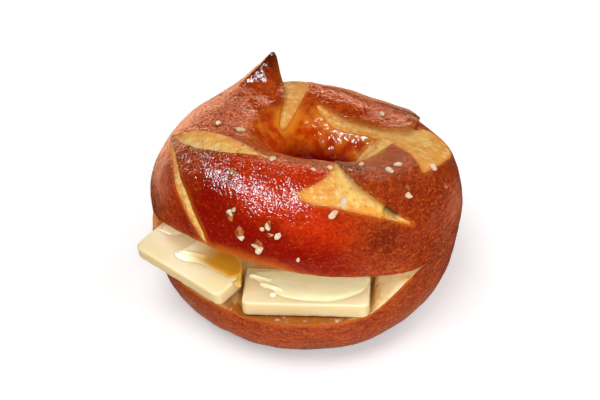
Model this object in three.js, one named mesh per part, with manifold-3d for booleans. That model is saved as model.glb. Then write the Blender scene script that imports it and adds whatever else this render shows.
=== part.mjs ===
// Pretzel bagel, cut open at the front and filled with two slabs of butter.
// Millimetres, +Z up. The open front faces -Y and the bagel stands on z = 0.
// Places on the bread are given by two angles in degrees: round the ring, counted from +X,
// and round the section of the ring, with 0 at the outside, 90 on top and 180 in the hole.

import * as THREE from 'three';
import { mergeVertices } from 'three/addons/utils/BufferGeometryUtils.js';
import Module from 'manifold-3d';

// Ring of bread
const RING_CENTRE = new THREE.Vector3(1.87, -0.1, 0);
const OUTER_RADIUS = 51.5;
const HOLE_RADIUS = 8.5;
const HOLE_SHIFT = new THREE.Vector2(4, -1);
const EQUATOR_HEIGHT = 31;
const PLAIN_CREST = 58;
const BASE_SINK = 1;
const UPPER_POWER = 2.15;
const LOWER_POWER = 2.3;
const CREST = { mean: 58.1, waves: [[1, 5.15, -130.5], [2, 1.73, -71.2]] };

// Knife cut: a tilted slice that opens into a mouth between two angles.
// The mouth closes along a straight hinge line from corner to corner, in front of the hole.
const PLAIN_CUT = 25;
const SLICE = { height: 28.5, tilt: 3.2, highest: -41 };
const MOUTH = { right: -41, left: -186, lift: 12.7, liftSkew: 1.45, drop: 10.5, dropSkew: 0.5 };
const MOUTH_CORNER = 0.2;
const HINGE_INSET = 0.5;
const HINGE_CURVE = { upper: 0.7, lower: 0.35 };
const LEAN = new THREE.Vector2(0.05, 0.12);

// Snipped flaps: each has a pointed ear, a lip along its hole side and one along its rim side.
// Away from the tip the crust slopes down to the hole-side lip in a facet.
// Beyond each lip the crust has torn open down to a far edge.
const DEGREE_ROUND_RING = 0.56;
const DEGREE_ROUND_SECTION = 0.43;
const LIP_RISE = 0.9;
const LIP_FADE = 4;
const FACET = { start: 1.5, full: 9 };
const TEAR_SLOPE = 0.5;
const TEAR_CURVE = 1.2;
const FLAP_HALF_SPAN = 30;
const FLAPS = [
  {
    ear: { at: [107, 60], rise: 11.5, length: 18, width: 8.5, curve: 1.9, facet: 5 },
    holeLip: [[107, 60], [104, 80], [108, 100], [118, 115], [129, 126]],
    holeFar: [[105, 56], [91, 54], [85, 67], [89, 85], [95, 102], [109, 120], [129, 128]],
    holeDepth: 2.6,
    rimLip: [[107, 60], [121, 48], [136, 32], [150, 12]],
    rimFar: [[104, 56], [116, 41], [131, 25], [150, 10]],
    rimDepth: 1.4,
  },
  {
    ear: { at: [-184, 50], rise: 1, length: 15, width: 8, curve: 1.3, facet: 1.5 },
    holeLip: [[-184, 50], [-162, 67], [-141, 87], [-128, 95], [-108, 97]],
    holeFar: [[-185, 52], [-183, 64], [-178, 79], [-168, 93], [-147, 101], [-108, 98]],
    holeDepth: 2.2,
    rimLip: [[-184, 50], [-165, 52], [-144, 36], [-132, 12], [-128, -6]],
    rimFar: [[-184, 48], [-163, 46], [-147, 28], [-137, 10], [-129, -7]],
    rimDepth: 1.6,
  },
  {
    ear: { at: [33, 52], rise: 1.2, length: 16, width: 7, curve: 1.3, facet: 1.5 },
    holeLip: [[33, 52], [30, 72], [34, 92], [48, 108], [63, 111], [80, 102]],
    holeFar: [
      [32, 48], [18, 42], [2, 44], [-13, 51], [-22, 58], [-24, 61], [-22, 66], [-15, 77],
      [-3, 90], [16, 102], [37, 113], [64, 120], [80, 105],
    ],
    holeDepth: 2.6,
    rimLip: [[33, 52], [46, 40], [60, 24], [74, 4]],
    rimFar: [[31, 48], [43, 33], [57, 17], [74, 2]],
    rimDepth: 1.4,
  },
  {
    ear: { at: [-70, 104], rise: 0.6, length: 14, width: 8, curve: 1.3, facet: 1.5 },
    holeLip: [[-70, 104], [-50, 118], [-25, 121], [-8, 114], [8, 97]],
    holeFar: [[-71, 106], [-50, 128], [-25, 141], [-2, 140], [12, 122], [15, 104], [9, 96]],
    holeDepth: 1.8,
    rimLip: [[-70, 104], [-67, 74], [-57, 46], [-49, 29]],
    rimFar: [[-72, 103], [-82, 79], [-94, 64], [-95, 60], [-90, 53], [-79, 49], [-60, 37], [-49, 27]],
    rimDepth: 2.2,
  },
];

// Coarse salt: angle round the ring, angle round the section, half length
const SALT_SEED = 11;
const SALT_FLATNESS = [1, 0.68, 0.62];
const SALT_PROUD = 0.25;
const SALT = [
  [175, 89, 1.2], [-179, 105, 1.6], [-115, 96, 1.3], [-129, 68, 0.8], [-120, 32, 1.2], [-114, 11, 1.3],
  [-105, 27, 1.2], [-101, 21, 1.4], [-107, 4, 1.6], [-81, 44, 1.6], [-76, 55, 2.0], [-77, 92, 1.2],
  [-52, 99, 1.2], [-42, 82, 1.5], [-32, 85, 1.5], [-45, 52, 1.5], [-18, 61, 1.7], [39, 86, 1.2],
];

// Butter slabs: length along the rim, depth towards the hole, thickness, place of the outer edge's middle,
// turn about Z, dip of the outer edge, roll along the length and how much the depth shrinks to one end
const BUTTER_EDGE = 0.6;
const BUTTER_CORNER = 1.6;
const BUTTER_GAP = 0.4;
const SLABS = [
  {
    name: 'butter_slab_front',
    size: [40, 18, 5],
    edge: [-0.4, -48.2, 20.8],
    tilt: { turn: -4, dip: 1.5, roll: 1.5 },
    taper: 0,
  },
  {
    name: 'butter_slab_left',
    size: [39, 14, 4.8],
    edge: [-41.2, -31.9, 22.4],
    tilt: { turn: -43.4, dip: 12, roll: 0 },
    taper: 0.28,
  },
];

// Steps of the bread's mesh
const MOUTH_STEPS = 40;
const CLOSED_STEPS = 58;
const TOP_STEPS = 33;
const BOTTOM_STEPS = 11;
const FACE_STEPS = 5;
const RELIEF_START = 8;
const LIP_SNAP = 1.2;

const FULL_TURN = 360;
const radians = THREE.MathUtils.degToRad;
const cosine = (degrees) => Math.cos(radians(degrees));
const sine = (degrees) => Math.sin(radians(degrees));
const signedPower = (value, power) => Math.sign(value) * Math.abs(value) ** power;

// Distance from the ring's middle to the hole's wall, for a hole that sits off centre
function holeReach(angle) {
  const shift = HOLE_SHIFT.length();
  const away = radians(angle) - HOLE_SHIFT.angle();
  return shift * Math.cos(away) + Math.sqrt(HOLE_RADIUS ** 2 - (shift * Math.sin(away)) ** 2);
}

// Section of the uncut ring: distance from the middle and height
function plainSection(angle, turn) {
  const inner = holeReach(angle);
  const middle = (OUTER_RADIUS + inner) / 2;
  const halfWidth = (OUTER_RADIUS - inner) / 2;
  const rises = sine(turn) >= 0;
  const power = 2 / (rises ? UPPER_POWER : LOWER_POWER);
  const halfHeight = rises ? PLAIN_CREST - EQUATOR_HEIGHT : EQUATOR_HEIGHT + BASE_SINK;
  const reach = middle + halfWidth * signedPower(cosine(turn), power);
  const height = EQUATOR_HEIGHT + halfHeight * signedPower(sine(turn), power);
  return [reach, Math.max(height, 0)];
}

// Angle round the section at which the knife went in
const CUT_DEPTH = ((EQUATOR_HEIGHT - PLAIN_CUT) / (EQUATOR_HEIGHT + BASE_SINK)) ** (LOWER_POWER / 2);
const CUT_TURN = -THREE.MathUtils.radToDeg(Math.asin(CUT_DEPTH));

function crestHeight(angle) {
  const wave = ([turns, size, peak]) => size * cosine(turns * (angle - peak));
  return CREST.waves.reduce((height, shape) => height + wave(shape), CREST.mean);
}

// Lift of the upper half and drop of the lower half where the mouth is open
function mouthOpening(angle) {
  const share = (MOUTH.right - angle) / (MOUTH.right - MOUTH.left);
  if (share <= 0 || share >= 1) return { lift: 0, drop: 0 };
  const corner = THREE.MathUtils.smoothstep(share, 0, MOUTH_CORNER);
  return {
    lift: MOUTH.lift * Math.sin(Math.PI * share ** MOUTH.liftSkew),
    drop: MOUTH.drop * Math.sin(Math.PI * share ** MOUTH.dropSkew) * corner,
  };
}

// Distance from the ring's middle to the hinge line, for an angle inside the mouth
function hingeReach(angle) {
  const middle = (MOUTH.right + MOUTH.left) / 2;
  const corner = (OUTER_RADIUS - HINGE_INSET) * cosine(MOUTH.right - middle);
  return corner / cosine(angle - middle);
}

// Opening of the mouth at a point: lift of the upper half and drop of the lower half, none behind the hinge
function openingAt(angle, reach) {
  const { lift, drop } = mouthOpening(angle);
  if (lift + drop === 0) return { lift, drop };
  const hinge = hingeReach(angle);
  const share = THREE.MathUtils.clamp((reach - hinge) / (OUTER_RADIUS - hinge), 0, 1);
  return { lift: lift * share ** HINGE_CURVE.upper, drop: drop * share ** HINGE_CURVE.lower };
}

// Height of the cut face of one half
function cutHeight(angle, reach, upper) {
  const { lift, drop } = openingAt(angle, reach);
  const slice = SLICE.height + SLICE.tilt * cosine(angle - SLICE.highest);
  return upper ? slice + lift : slice - drop;
}

// Point of the opened bread for a point of the plain section
function openedPoint(angle, reach, height, upper) {
  const cut = cutHeight(angle, reach, upper);
  const point = new THREE.Vector3(reach * cosine(angle), reach * sine(angle), 0);
  if (!upper) {
    point.z = height * cut / PLAIN_CUT;
    return point;
  }
  const { lift, drop } = openingAt(angle, reach);
  point.x += LEAN.x * (lift + drop);
  point.y += LEAN.y * (lift + drop);
  point.z = cut + (height - PLAIN_CUT) * (crestHeight(angle) - cut) / (PLAIN_CREST - PLAIN_CUT);
  return point;
}

function smoothPoint(angle, turn, upper) {
  return openedPoint(angle, ...plainSection(angle, turn), upper);
}

function outwardNormal(angle, turn) {
  const step = 0.5;
  const round = smoothPoint(angle + step, turn, true).sub(smoothPoint(angle - step, turn, true));
  const across = smoothPoint(angle, turn + step, true).sub(smoothPoint(angle, turn - step, true));
  return round.cross(across).normalize();
}

// Flat map of the crust in millimetres, on which the flaps are drawn
const onMap = ([angle, turn]) => new THREE.Vector2(angle * DEGREE_ROUND_RING, turn * DEGREE_ROUND_SECTION);
const mapLine = (places) => new THREE.SplineCurve(places.map(onMap)).getPoints(6 * places.length);

function nearestOnLine(point, line) {
  let best = { distance: Infinity, along: 0, at: point };
  for (let i = 0; i + 1 < line.length; i += 1) {
    const span = line[i + 1].clone().sub(line[i]);
    const share = THREE.MathUtils.clamp(point.clone().sub(line[i]).dot(span) / span.lengthSq(), 0, 1);
    const at = line[i].clone().addScaledVector(span, share);
    const distance = point.distanceTo(at);
    if (distance < best.distance) best = { distance, along: (i + share) / (line.length - 1), at };
  }
  return best;
}

function isInside(point, outline) {
  let inside = false;
  outline.forEach((corner, i) => {
    const next = outline[(i + 1) % outline.length];
    if ((corner.y > point.y) === (next.y > point.y)) return;
    const crossing = corner.x + (point.y - corner.y) * (next.x - corner.x) / (next.y - corner.y);
    if (point.x < crossing) inside = !inside;
  });
  return inside;
}

function drawFlap(flap) {
  const holeLip = mapLine(flap.holeLip);
  const rimLip = mapLine(flap.rimLip);
  const tear = (lip, places, depth) => {
    const far = mapLine(places);
    return { lip, far, depth, outline: [...lip, ...far.slice().reverse()] };
  };
  return {
    ear: flap.ear,
    lips: [holeLip, rimLip],
    outline: [...holeLip, ...rimLip.slice().reverse()],
    tears: [tear(holeLip, flap.holeFar, flap.holeDepth), tear(rimLip, flap.rimFar, flap.rimDepth)],
  };
}
const DRAWN_FLAPS = FLAPS.map(drawFlap);

// Lift of a flap towards its ear
function earRise({ ear, lips }, place) {
  const tip = onMap(ear.at);
  const along = Math.max(place.x - tip.x, 0);
  const slope = Math.max(1 - along / ear.length, 0) ** ear.curve;
  const bell = Math.exp(-(((place.y - tip.y) / ear.width) ** 2));
  const offTip = THREE.MathUtils.smoothstep(place.distanceTo(tip), FACET.start, FACET.full);
  const facet = 1 - THREE.MathUtils.smoothstep(nearestOnLine(place, lips[0]).distance, 0, ear.facet);
  return ear.rise * slope * bell * (1 - offTip * facet);
}

// Place on the map, with the angle counted so that it lies beside the flap
function besideFlap(flap, angle, turn) {
  const middle = flap.ear.at[0] + FLAP_HALF_SPAN;
  const away = THREE.MathUtils.euclideanModulo(angle - middle + FULL_TURN / 2, FULL_TURN) - FULL_TURN / 2;
  return onMap([middle + away, turn]);
}

// Swelling of a flap's crust towards its lips and lift of its ear
function flapRelief(flap, place) {
  const swells = flap.lips.map((lip) => {
    const { distance, along } = nearestOnLine(place, lip);
    return LIP_RISE * (1 - along ** 2) * Math.exp(-distance / LIP_FADE);
  });
  return { swell: Math.max(...swells), lift: earRise(flap, place) };
}

// Sinking of the torn crumb, deepest beside the lip
function tearDepth(tear, place) {
  const fromLip = nearestOnLine(place, tear.lip).distance;
  const width = fromLip + nearestOnLine(place, tear.far).distance;
  return Math.min(tear.depth, TEAR_SLOPE * width) * (1 - fromLip / width) ** TEAR_CURVE;
}

// A place within half a mesh step of a lip moves onto it, so that the lips are clean edges
function snapToLip(angle, turn) {
  for (const flap of DRAWN_FLAPS) {
    const place = besideFlap(flap, angle, turn);
    for (const lip of flap.lips) {
      const { distance, along, at } = nearestOnLine(place, lip);
      if (distance > LIP_SNAP || along === 0 || along === 1) continue;
      return { flap, angle: at.x / DEGREE_ROUND_RING, turn: at.y / DEGREE_ROUND_SECTION };
    }
  }
  return { flap: null, angle, turn };
}

function reliefAt({ flap, angle, turn }) {
  if (flap) return flapRelief(flap, onMap([angle, turn]));
  let swell = 0;
  for (const drawn of DRAWN_FLAPS) {
    const place = besideFlap(drawn, angle, turn);
    if (isInside(place, drawn.outline)) return flapRelief(drawn, place);
    const open = drawn.tears.filter((tear) => isInside(place, tear.outline));
    swell = Math.min(swell, ...open.map((tear) => -tearDepth(tear, place)));
  }
  return { swell, lift: 0 };
}

function crustPoint(angle, turn) {
  const fromCut = Math.min(turn - CUT_TURN, FULL_TURN / 2 - CUT_TURN - turn);
  const share = THREE.MathUtils.smoothstep(fromCut, 0, RELIEF_START);
  if (share === 0) return smoothPoint(angle, turn, true);
  const spot = snapToLip(angle, turn);
  const { swell, lift } = reliefAt(spot);
  const normal = outwardNormal(spot.angle, spot.turn);
  const point = smoothPoint(spot.angle, spot.turn, true).addScaledVector(normal, swell * share);
  point.z += lift * share;
  return point;
}

// Grid of points closed into triangles; flipped turns the faces round
function addGrid(corners, columns, rows, pointAt, flipped) {
  const grid = [];
  for (let i = 0; i <= columns; i += 1) {
    const column = [];
    for (let j = 0; j <= rows; j += 1) column.push(pointAt(i, j));
    grid.push(column);
  }
  for (let i = 0; i < columns; i += 1) {
    for (let j = 0; j < rows; j += 1) {
      const [a, b, c, d] = [grid[i][j], grid[i + 1][j], grid[i + 1][j + 1], grid[i][j + 1]];
      const shortWay = a.distanceToSquared(c) <= b.distanceToSquared(d);
      const triangles = shortWay ? [a, b, c, a, c, d] : [a, b, d, b, c, d];
      corners.push(...(flipped ? triangles.reverse() : triangles));
    }
  }
}

function closedGeometry(corners) {
  const soup = new THREE.BufferGeometry().setFromPoints(corners);
  return mergeVertices(soup, 1e-4);
}

function ringAngles() {
  const angles = [];
  for (let i = 0; i <= MOUTH_STEPS; i += 1) {
    angles.push(THREE.MathUtils.lerp(MOUTH.left, MOUTH.right, i / MOUTH_STEPS));
  }
  for (let i = 1; i < CLOSED_STEPS; i += 1) {
    angles.push(THREE.MathUtils.lerp(MOUTH.right, MOUTH.left + FULL_TURN, i / CLOSED_STEPS));
  }
  angles.push(MOUTH.left);
  return angles;
}

function breadGeometry() {
  const corners = [];
  const angles = ringAngles();
  const columns = angles.length - 1;
  const holeTurn = FULL_TURN / 2 - CUT_TURN;
  const topTurn = (j) => THREE.MathUtils.lerp(CUT_TURN, holeTurn, j / TOP_STEPS);
  const bottomTurn = (j) => THREE.MathUtils.lerp(holeTurn, FULL_TURN + CUT_TURN, j / BOTTOM_STEPS);
  addGrid(corners, columns, TOP_STEPS, (i, j) => crustPoint(angles[i], topTurn(j)), false);
  addGrid(corners, columns, BOTTOM_STEPS, (i, j) => smoothPoint(angles[i], bottomTurn(j), false), false);
  const facePoint = (i, j, upper) => {
    const [rim] = plainSection(angles[i], CUT_TURN);
    const reach = THREE.MathUtils.lerp(rim, hingeReach(angles[i]), j / FACE_STEPS);
    return openedPoint(angles[i], reach, PLAIN_CUT, upper);
  };
  addGrid(corners, MOUTH_STEPS, FACE_STEPS, (i, j) => facePoint(i, j, true), true);
  addGrid(corners, MOUTH_STEPS, FACE_STEPS, (i, j) => facePoint(i, j, false), false);
  return closedGeometry(corners);
}

// Repeatable random numbers from 0 to 1
function randomSource(seed) {
  let state = seed;
  return () => {
    state = (state * 16807) % 2147483647;
    return state / 2147483647;
  };
}

function saltGeometries() {
  const random = randomSource(SALT_SEED);
  return SALT.map(([angle, turn, half]) => {
    const grain = new THREE.IcosahedronGeometry(1, 0);
    grain.scale(...SALT_FLATNESS.map((share) => share * half));
    grain.rotateZ(random() * 2 * Math.PI);
    const normal = outwardNormal(angle, turn);
    const upright = new THREE.Quaternion().setFromUnitVectors(new THREE.Vector3(0, 0, 1), normal);
    grain.applyQuaternion(upright);
    const place = crustPoint(angle, turn).addScaledVector(normal, SALT_PROUD * half);
    grain.translate(place.x, place.y, place.z);
    return positionsOnly(grain);
  });
}

function positionsOnly(geometry) {
  const bare = new THREE.BufferGeometry();
  bare.setAttribute('position', geometry.getAttribute('position'));
  bare.setIndex(geometry.getIndex());
  return mergeVertices(bare, 1e-4);
}

const wasm = await Module();
wasm.setup();

function toSolid(geometry) {
  const vertProperties = Float32Array.from(geometry.getAttribute('position').array);
  const triVerts = Uint32Array.from(geometry.getIndex().array);
  return new wasm.Manifold(new wasm.Mesh({ numProp: 3, vertProperties, triVerts }));
}

function toGeometry(solid) {
  const mesh = solid.getMesh();
  const geometry = new THREE.BufferGeometry();
  geometry.setAttribute('position', new THREE.BufferAttribute(mesh.vertProperties, mesh.numProp));
  geometry.setIndex(new THREE.BufferAttribute(mesh.triVerts, 1));
  return geometry;
}

// Slab of butter with its outer edge's middle at the origin, its length along X and its depth along +Y
function slabGeometry({ size, taper }, grown) {
  const [length, depth, thickness] = size.map((side) => side + 2 * grown);
  const x = length / 2 - BUTTER_EDGE;
  const far = depth - BUTTER_EDGE;
  const corner = BUTTER_CORNER - BUTTER_EDGE;
  const outline = new THREE.Shape();
  outline.absarc(x - corner, BUTTER_EDGE + corner, corner, -Math.PI / 2, 0, false);
  outline.absarc(x - corner, far - corner, corner, 0, Math.PI / 2, false);
  outline.absarc(corner - x, far - corner, corner, Math.PI / 2, Math.PI, false);
  outline.absarc(corner - x, BUTTER_EDGE + corner, corner, Math.PI, 1.5 * Math.PI, false);
  const slab = positionsOnly(new THREE.ExtrudeGeometry(outline, {
    depth: thickness - 2 * BUTTER_EDGE,
    bevelThickness: BUTTER_EDGE,
    bevelSize: BUTTER_EDGE,
    bevelSegments: 2,
    curveSegments: 4,
  }));
  slab.translate(0, -grown, BUTTER_EDGE - grown);
  const points = slab.getAttribute('position');
  for (let i = 0; i < points.count; i += 1) {
    points.setY(i, points.getY(i) * (1 - 2 * taper * points.getX(i) / length));
  }
  return slab;
}

function slabMatrix({ edge, tilt }) {
  const turned = new THREE.Euler(radians(tilt.dip), radians(-tilt.roll), radians(tilt.turn), 'ZYX');
  return new THREE.Matrix4().makeRotationFromEuler(turned).setPosition(...edge);
}

// Bread with the salt joined on and the crumb pressed down where the butter lies
function filledBread() {
  const salted = saltGeometries().reduce((sum, grain) => sum.add(toSolid(grain)), toSolid(breadGeometry()));
  const dents = SLABS.map((slab) => slabGeometry(slab, BUTTER_GAP).applyMatrix4(slabMatrix(slab)));
  return toGeometry(dents.reduce((rest, dent) => rest.subtract(toSolid(dent)), salted));
}

const crust = new THREE.MeshStandardMaterial({ color: 0x8a3a16, roughness: 0.35, metalness: 0 });
const butter = new THREE.MeshStandardMaterial({ color: 0xf6e3b0, roughness: 0.45, metalness: 0 });

const group = new THREE.Group();
group.position.copy(RING_CENTRE);

const bread = new THREE.Mesh(filledBread(), crust);
bread.name = 'bagel_bread';
group.add(bread);

for (const slab of SLABS) {
  const mesh = new THREE.Mesh(slabGeometry(slab, 0), butter.clone());
  mesh.name = slab.name;
  mesh.applyMatrix4(slabMatrix(slab));
  group.add(mesh);
}

export default group;
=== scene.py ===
# %% [markdown]
# A pretzel bagel, cut open at the front and filled with two slabs of butter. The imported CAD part
# gives the shared frame: metres, +Z up, the open front towards -Y. Everything below is fitted to
# it.

# %% Load the frame
import math
from collections import namedtuple

import bmesh
import bpy
import numpy as np
from mathutils import Euler, Matrix, Vector, noise
from mathutils.bvhtree import BVHTree


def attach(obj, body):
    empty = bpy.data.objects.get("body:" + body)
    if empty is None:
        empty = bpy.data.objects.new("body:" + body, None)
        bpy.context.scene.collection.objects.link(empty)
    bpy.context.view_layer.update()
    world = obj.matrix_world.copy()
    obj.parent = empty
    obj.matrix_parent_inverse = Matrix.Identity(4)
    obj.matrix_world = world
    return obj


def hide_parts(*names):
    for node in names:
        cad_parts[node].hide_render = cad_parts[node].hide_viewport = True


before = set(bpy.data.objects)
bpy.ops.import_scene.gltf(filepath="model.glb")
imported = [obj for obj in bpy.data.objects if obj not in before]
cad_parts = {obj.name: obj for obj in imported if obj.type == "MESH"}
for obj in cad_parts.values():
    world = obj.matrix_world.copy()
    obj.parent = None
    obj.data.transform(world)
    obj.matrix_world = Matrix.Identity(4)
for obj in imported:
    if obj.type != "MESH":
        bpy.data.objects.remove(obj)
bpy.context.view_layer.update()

print("frame nodes:", sorted(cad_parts))

# %% [markdown]
# The bread is a ring of dough. Its section is a rounded, slightly square oval, and its crest rises
# towards the front left. One way to make it is to sculpt a torus by hand. Here the ring is written
# as formulas of two angles, so that the same few sizes give the whole loaf and every mark on it can
# be placed by its angles. The sizes are in millimetres and are scaled to metres in each mesh.

# %% Sizes of the ring
MM = 0.001
RING_CENTRE = np.array([1.87, -0.1, 0.0])
OUTER_RADIUS = 51.5
HOLE_RADIUS = 8.5
HOLE_SHIFT = (4.0, -1.0)
EQUATOR_HEIGHT = 31.0
PLAIN_CREST = 58.0
BASE_SINK = 1.0
UPPER_POWER = 2.15
LOWER_POWER = 2.3
CREST_MEAN = 58.1
CREST_WAVES = ((1, 5.15, -130.5), (2, 1.73, -71.2))


def cosine(degrees):
    return np.cos(np.radians(degrees))


def sine(degrees):
    return np.sin(np.radians(degrees))


def signed_power(value, power):
    return np.sign(value) * np.abs(value) ** power


def smooth_step(value, low, high):
    share = np.clip((value - low) / (high - low), 0, 1)
    return share * share * (3 - 2 * share)


def hole_reach(angle):
    shift = math.hypot(*HOLE_SHIFT)
    away = np.radians(angle) - math.atan2(HOLE_SHIFT[1], HOLE_SHIFT[0])
    return shift * np.cos(away) + np.sqrt(HOLE_RADIUS**2 - (shift * np.sin(away)) ** 2)


def plain_section(angle, turn):
    """Distance from the middle and height of the uncut ring, for an angle round the section."""
    inner = hole_reach(angle)
    rises = sine(turn) >= 0
    power = np.where(rises, 2 / UPPER_POWER, 2 / LOWER_POWER)
    half_height = np.where(rises, PLAIN_CREST - EQUATOR_HEIGHT, EQUATOR_HEIGHT + BASE_SINK)
    reach = (OUTER_RADIUS + inner) / 2 + (OUTER_RADIUS - inner) / 2 * signed_power(cosine(turn), power)
    height = EQUATOR_HEIGHT + half_height * signed_power(sine(turn), power)
    return reach, np.maximum(height, 0)


def crest_height(angle):
    return CREST_MEAN + sum(size * cosine(turns * (angle - peak)) for turns, size, peak in CREST_WAVES)


print("crest from", round(crest_height(50), 1), "to", round(crest_height(-130), 1), "mm")

# %% [markdown]
# A knife has opened the bagel from the front. The upper half lifts and the lower half sags, and
# both still hang together behind a straight hinge line in front of the hole. A Boolean cut would
# leave a flat wedge. Lifting and lowering each point by its distance from the hinge gives the soft,
# curved mouth of real bread instead.

# %% Opening of the mouth
PLAIN_CUT = 25.0
SLICE_HEIGHT = 28.5
SLICE_TILT = 3.2
MOUTH_RIGHT = -41.0
MOUTH_LEFT = -186.0
MOUTH_LIFT = 12.7
LIFT_SKEW = 1.45
MOUTH_DROP = 10.5
DROP_SKEW = 0.5
MOUTH_CORNER = 0.2
HINGE_INSET = 0.5
HINGE_CURVE_UPPER = 0.7
HINGE_CURVE_LOWER = 0.35
LEAN = (0.05, 0.12)
CUT_DEPTH = ((EQUATOR_HEIGHT - PLAIN_CUT) / (EQUATOR_HEIGHT + BASE_SINK)) ** (LOWER_POWER / 2)
CUT_TURN = -math.degrees(math.asin(CUT_DEPTH))
HOLE_TURN = 180 - CUT_TURN


def mouth_share(angle):
    """0 at the right corner of the mouth and 1 at its left corner."""
    unrolled = (angle - MOUTH_LEFT) % 360 + MOUTH_LEFT
    return np.clip((MOUTH_RIGHT - unrolled) / (MOUTH_RIGHT - MOUTH_LEFT), 0, 1)


def hinge_reach(angle):
    middle = (MOUTH_RIGHT + MOUTH_LEFT) / 2
    return (OUTER_RADIUS - HINGE_INSET) * cosine(MOUTH_RIGHT - middle) / cosine(angle - middle)


def opening_at(angle, reach):
    share = mouth_share(angle)
    is_open = (share > 0) & (share < 1)
    lift = MOUTH_LIFT * np.sin(np.pi * share**LIFT_SKEW)
    drop = MOUTH_DROP * np.sin(np.pi * share**DROP_SKEW) * smooth_step(share, 0, MOUTH_CORNER)
    hinge = np.where(is_open, hinge_reach(angle), OUTER_RADIUS - HINGE_INSET)
    beyond = np.clip((reach - hinge) / (OUTER_RADIUS - hinge), 0, 1) * is_open
    return lift * beyond**HINGE_CURVE_UPPER * is_open, drop * beyond**HINGE_CURVE_LOWER * is_open


def opened_point(angle, reach, height, upper):
    """Point of the opened bread for a point of the plain section."""
    lift, drop = opening_at(angle, reach)
    slice_height = SLICE_HEIGHT + SLICE_TILT * cosine(angle - MOUTH_RIGHT)
    x, y = reach * cosine(angle), reach * sine(angle)
    if not upper:
        return np.stack([x, y, height * (slice_height - drop) / PLAIN_CUT], axis=-1)
    cut = slice_height + lift
    z = cut + (height - PLAIN_CUT) * (crest_height(angle) - cut) / (PLAIN_CREST - PLAIN_CUT)
    return np.stack([x + LEAN[0] * (lift + drop), y + LEAN[1] * (lift + drop), z], axis=-1)


def smooth_point(angle, turn, upper=True):
    return opened_point(angle, *plain_section(angle, turn), upper)


def unit(vectors):
    return vectors / np.maximum(np.linalg.norm(vectors, axis=-1, keepdims=True), 1e-9)


def outward_normal(angle, turn):
    step = 0.5
    round_ring = smooth_point(angle + step, turn) - smooth_point(angle - step, turn)
    round_section = smooth_point(angle, turn + step) - smooth_point(angle, turn - step)
    return unit(np.cross(round_ring, round_section))


print("knife went in at", round(CUT_TURN, 1), "degrees round the section")

# %% [markdown]
# Before baking, scissors snipped the dough four times. Each snip left a flap with a pointed ear and
# two lips, and beyond each lip the crust tore open and bared pale crumb. The flaps are drawn as
# smooth curves on a flat map of the crust, where one step is a millimetre, because distances to a
# lip or to a torn edge are easy to measure there. Each place is given by its angle round the ring
# and its turn round the section.

# %% Snipped flaps on the map
DEGREE_ROUND_RING = 0.56
DEGREE_ROUND_SECTION = 0.43
MAP_SCALE = np.array([DEGREE_ROUND_RING, DEGREE_ROUND_SECTION])
FLAP_HALF_SPAN = 30
Ear = namedtuple("Ear", "at rise length width curve facet singe wrap")
Flap = namedtuple("Flap", "ear lip_rise overhang hole_lip hole_far hole_depth rim_lip rim_far rim_depth")
FLAPS = (
    Flap(
        ear=Ear(at=(107, 60), rise=11.5, length=18, width=8.5, curve=1.9, facet=5.0, singe=6.0, wrap=0),
        lip_rise=0.6,
        overhang=0.5,
        hole_lip=((107, 60), (104, 80), (108, 100), (118, 115), (129, 126)),
        hole_far=(
            (105, 56), (91, 54), (87, 66), (88, 78), (91, 94), (97, 108), (106, 120), (120, 128),
            (130, 129),
        ),
        hole_depth=2.0,
        rim_lip=((107, 60), (121, 48), (136, 32), (150, 12)),
        rim_far=((104, 56), (116, 41), (131, 25), (150, 10)),
        rim_depth=1.0,
    ),
    Flap(
        ear=Ear(at=(-184, 50), rise=1.0, length=15, width=8, curve=1.3, facet=1.5, singe=6.0, wrap=0),
        lip_rise=0.5,
        overhang=0.5,
        hole_lip=((-184, 50), (-162, 67), (-141, 87), (-128, 95), (-108, 97)),
        hole_far=((-185, 52), (-183, 64), (-178, 79), (-168, 93), (-147, 101), (-108, 98)),
        hole_depth=1.3,
        rim_lip=((-184, 50), (-165, 52), (-144, 36), (-132, 12), (-128, -6)),
        rim_far=((-184, 48), (-163, 46), (-147, 28), (-137, 10), (-129, -7)),
        rim_depth=1.0,
    ),
    Flap(
        ear=Ear(at=(33, 52), rise=1.4, length=16, width=8, curve=1.3, facet=1.5, singe=6.0, wrap=5),
        lip_rise=0.8,
        overhang=1.5,
        hole_lip=((33, 52), (27, 66), (24, 82), (30, 96), (44, 103), (57, 106), (70, 104), (81, 102)),
        hole_far=(
            (32, 48), (27, 41), (20, 35), (12, 32), (6, 36), (-2, 46), (-8, 52), (-18, 60), (-26, 64),
            (-22, 72), (-16, 80), (-3, 93), (8, 102), (25, 113), (40, 120), (54, 122), (66, 119), (77, 111),
            (81, 104),
        ),
        hole_depth=3.0,
        rim_lip=((33, 52), (46, 40), (60, 24), (74, 4)),
        rim_far=((31, 48), (43, 33), (57, 17), (74, 2)),
        rim_depth=1.0,
    ),
    Flap(
        ear=Ear(at=(-70, 104), rise=0.6, length=14, width=8, curve=1.3, facet=1.5, singe=8.0, wrap=0),
        lip_rise=0.35,
        overhang=0.5,
        hole_lip=((-70, 104), (-50, 118), (-25, 121), (-8, 114), (8, 97)),
        hole_far=((-71, 106), (-50, 128), (-25, 141), (-2, 140), (12, 122), (15, 104), (9, 96)),
        hole_depth=1.2,
        rim_lip=((-70, 104), (-67, 74), (-57, 46), (-49, 29)),
        rim_far=(
            (-72, 103), (-82, 79), (-94, 64), (-95, 60), (-90, 53), (-79, 49), (-60, 37), (-49, 27),
        ),
        rim_depth=0.8,
    ),
)


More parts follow.
